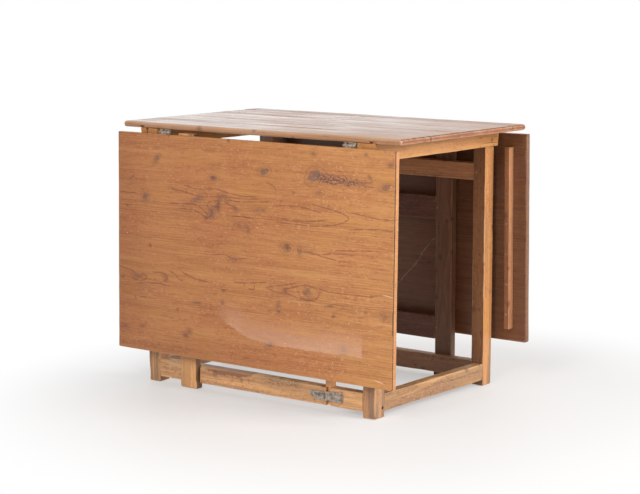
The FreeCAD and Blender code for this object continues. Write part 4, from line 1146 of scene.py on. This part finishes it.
def gate_leg(side):
    node = f"{side}_gate_leg"
    low, high = own_box(node)
    foot = {f"{i}{axis}-z": GATE_FOOT_ARRIS for axis in "xy" for i in "-+"}
    post = Timber(low, high, next(seed), step=6 * MM, arris=2.6 * MM, rounds=foot)
    post.press(depth=0.6 * MM, dents=30)
    middle = (low + high) / 2
    rise = ((post.points[:, 2] - low[2] - WAIST_START) / WAIST_LENGTH).clip(0, 1)
    swinging = np.sign(post.points[:, 0] - middle[0])
    narrowing = np.where(swinging * middle[0] < 0, HINGE_SIDE_WAIST, FREE_SIDE_WAIST)
    post.points[:, 0] -= swinging * narrowing * rise * rise * (3 - 2 * rise)
    # Painted shade on the faces that look into the table and on the +x side.
    post.look_inward(INWARD[side], "+x")
    bareness = 0.4 if side == "front" else 0.1
    finish_piece(post.piece(f"{node}_timber"), node, "gate_leg", middle, bareness=bareness)


def gate_stile(side):
    """The upright that the gate turns on: square, with a shank and a pin below and a pin at its head."""
    node = f"{side}_gate_stile"
    low, high = own_box(node)
    x, y = joint_place(f"{side}_gate_pivot")[:2]
    stretcher_top = own_box(f"{side}_stretcher")[1][2]
    rail_bottom = own_box(f"{side}_upper_rail")[0][2]
    square_low = np.array([low[0], low[1], STILE_FOOT])
    square_high = np.array([high[0], high[1], rail_bottom - STILE_GAP])
    post = Timber(square_low, square_high, next(seed), step=6 * MM, arris=2.2 * MM)
    post.press(depth=0.5 * MM, dents=14)
    post.look_inward(INWARD[side])
    piece = post.piece(f"{node}_timber")
    shank_low = (x - SHANK_HALF, y - SHANK_HALF, stretcher_top + PIN_CLEARANCE)
    shank_high = (x + SHANK_HALF, y + SHANK_HALF, STILE_FOOT + SHANK_LAP)
    carve(piece, block(shank_low, shank_high), "UNION")
    carve(piece, rod("z", low[2], stretcher_top + PIN_LAP, FOOT_PIN, (x, y)), "UNION")
    carve(piece, rod("z", square_high[2] - SHANK_LAP, high[2], HEAD_PIN, (x, y)), "UNION")
    finish_piece(piece, node, "gate_stile", (low + high) / 2)


def gate_rail(side, name):
    node = f"{side}_gate_{name}_rail"
    low, high = own_box(node)
    leg, stile = own_box(f"{side}_gate_leg"), own_box(f"{side}_gate_stile")
    if side == "front":
        low[0], high[0] = leg[1][0] - RAIL_LAP, stile[0][0]
    else:
        low[0], high[0] = stile[1][0], leg[0][0] + RAIL_LAP
    rail = Timber(low, high, next(seed), step=7 * MM).press(depth=0.6 * MM, dents=20)
    rail.look_inward(INWARD[side])
    finish_piece(rail.piece(f"{node}_timber"), node, "gate_rail", (low + high) / 2)


# ---------------------------------------------------------------- iron and pegs
def forged_iron():
    finish = Finish("forged_iron")
    spot = finish.node("TexCoord", output="Object")
    hammered = finish.noise(spot, 160, 3.0, 0.6)
    pitted = finish.noise(spot, 900, 3.0, 0.6)
    rust = smooth(finish.noise(spot, 60, 4.0, 0.65), 0.56, 0.74)
    colour = finish.blend(smooth(hammered, 0.3, 0.7), IRON_DARK, IRON_LIGHT)
    colour = finish.blend(rust * 0.5, colour, IRON_RUST)
    colour = finish.blend(smooth(pitted, 0.56, 0.7) * 0.4, colour, IRON_PIT)
    normal = finish.bump(hammered * 1.5 + pitted * 0.3, 0.5, 0.6 * MM)
    return finish.surface(Base_Color=colour, Metallic=(1 - rust) * 0.45,
                          Roughness=0.45 + rust * 0.3, Normal=normal)


def screw_steel():
    finish = Finish("screw_steel")
    spot = finish.node("TexCoord", output="Object")
    tarnish = smooth(finish.noise(spot, 400, 3.0, 0.6), 0.45, 0.7)
    colour = finish.blend(tarnish, STEEL_BRIGHT, STEEL_TARNISHED)
    return finish.surface(Base_Color=colour, Metallic=0.6, Roughness=0.32 + tarnish * 0.25)


SOFTENED_ANGLE = math.radians(40)  # faces that meet more sharply than this get a small round between them
WELD = 0.01 * MM
IRON_ROUND, PEG_ROUND = 0.3 * MM, 0.4 * MM


def soften(node, material, width):
    """A carried node takes a finish, and its arrises a small round."""
    carried = NODES[node]
    carried.data.materials.clear()
    carried.data.materials.append(material)
    carried.modifiers.new("weld", "WELD").merge_threshold = WELD
    bevel = carried.modifiers.new("bevel", "BEVEL")
    bevel.width = width
    bevel.segments = 2
    bevel.limit_method = "ANGLE"
    bevel.angle_limit = SOFTENED_ANGLE


# ---------------------------------------------------------------- put together
# Local wear: an arris, the place along it, a half width and how much deeper it is worn there.
STRETCHER_BITES = [
    ("-y+z", -0.305, 0.040, 13 * MM), ("-y+z", -0.218, 0.030, 5 * MM), ("-y+z", 0.060, 0.030, 3 * MM),
    ("-y+z", 0.105, 0.022, 4 * MM), ("-y+z", 0.137, 0.010, 4 * MM), ("-y+z", -0.06, 0.05, 2 * MM),
]
LEG_BITES = {
    "front_left_leg": [
        ("+x-y", 0.062, 0.036, 6 * MM), ("+x-y", 0.015, 0.02, 3 * MM), ("-x-y", 0.03, 0.02, 2 * MM),
    ],
    "front_right_leg": [("+x-y", 0.045, 0.03, 3 * MM), ("-x-y", 0.10, 0.03, 2.5 * MM)],
}

make_camera()
make_floor()
make_surround()
for name, lamp in LAMPS.items():
    make_lamp(name, *lamp)
bpy.context.scene.view_settings.view_transform = "Standard"

top_boards()
for side in ("front", "back"):
    leaf_boards(side)
    for end in ("left", "right"):
        leg_post(side, end)
    long_bar(side, "rail", f"{side}_upper_rail", 2 * MM)
    wear = (STRETCHER_BITES, stretcher_marks) if side == "front" else ()
    long_bar(side, "stretcher", f"{side}_stretcher", 5 * MM, *wear)
    gate_leg(side)
    gate_stile(side)
    for name in ("lower", "upper"):
        gate_rail(side, name)
for end in ("left", "right"):
    end_bar(end)
    bearer(end)
iron = forged_iron()
steel = screw_steel()
peg_finish = pine("peg_pine", (0, 0, 0), PEG_SEED, **LOOKS["peg"])
for node, slot in SLOT_OF.items():
    if slot == "wrought_iron":
        soften(node, steel if "screws" in node else iron, IRON_ROUND)
    if slot == "peg_wood":
        soften(node, peg_finish, PEG_ROUND)
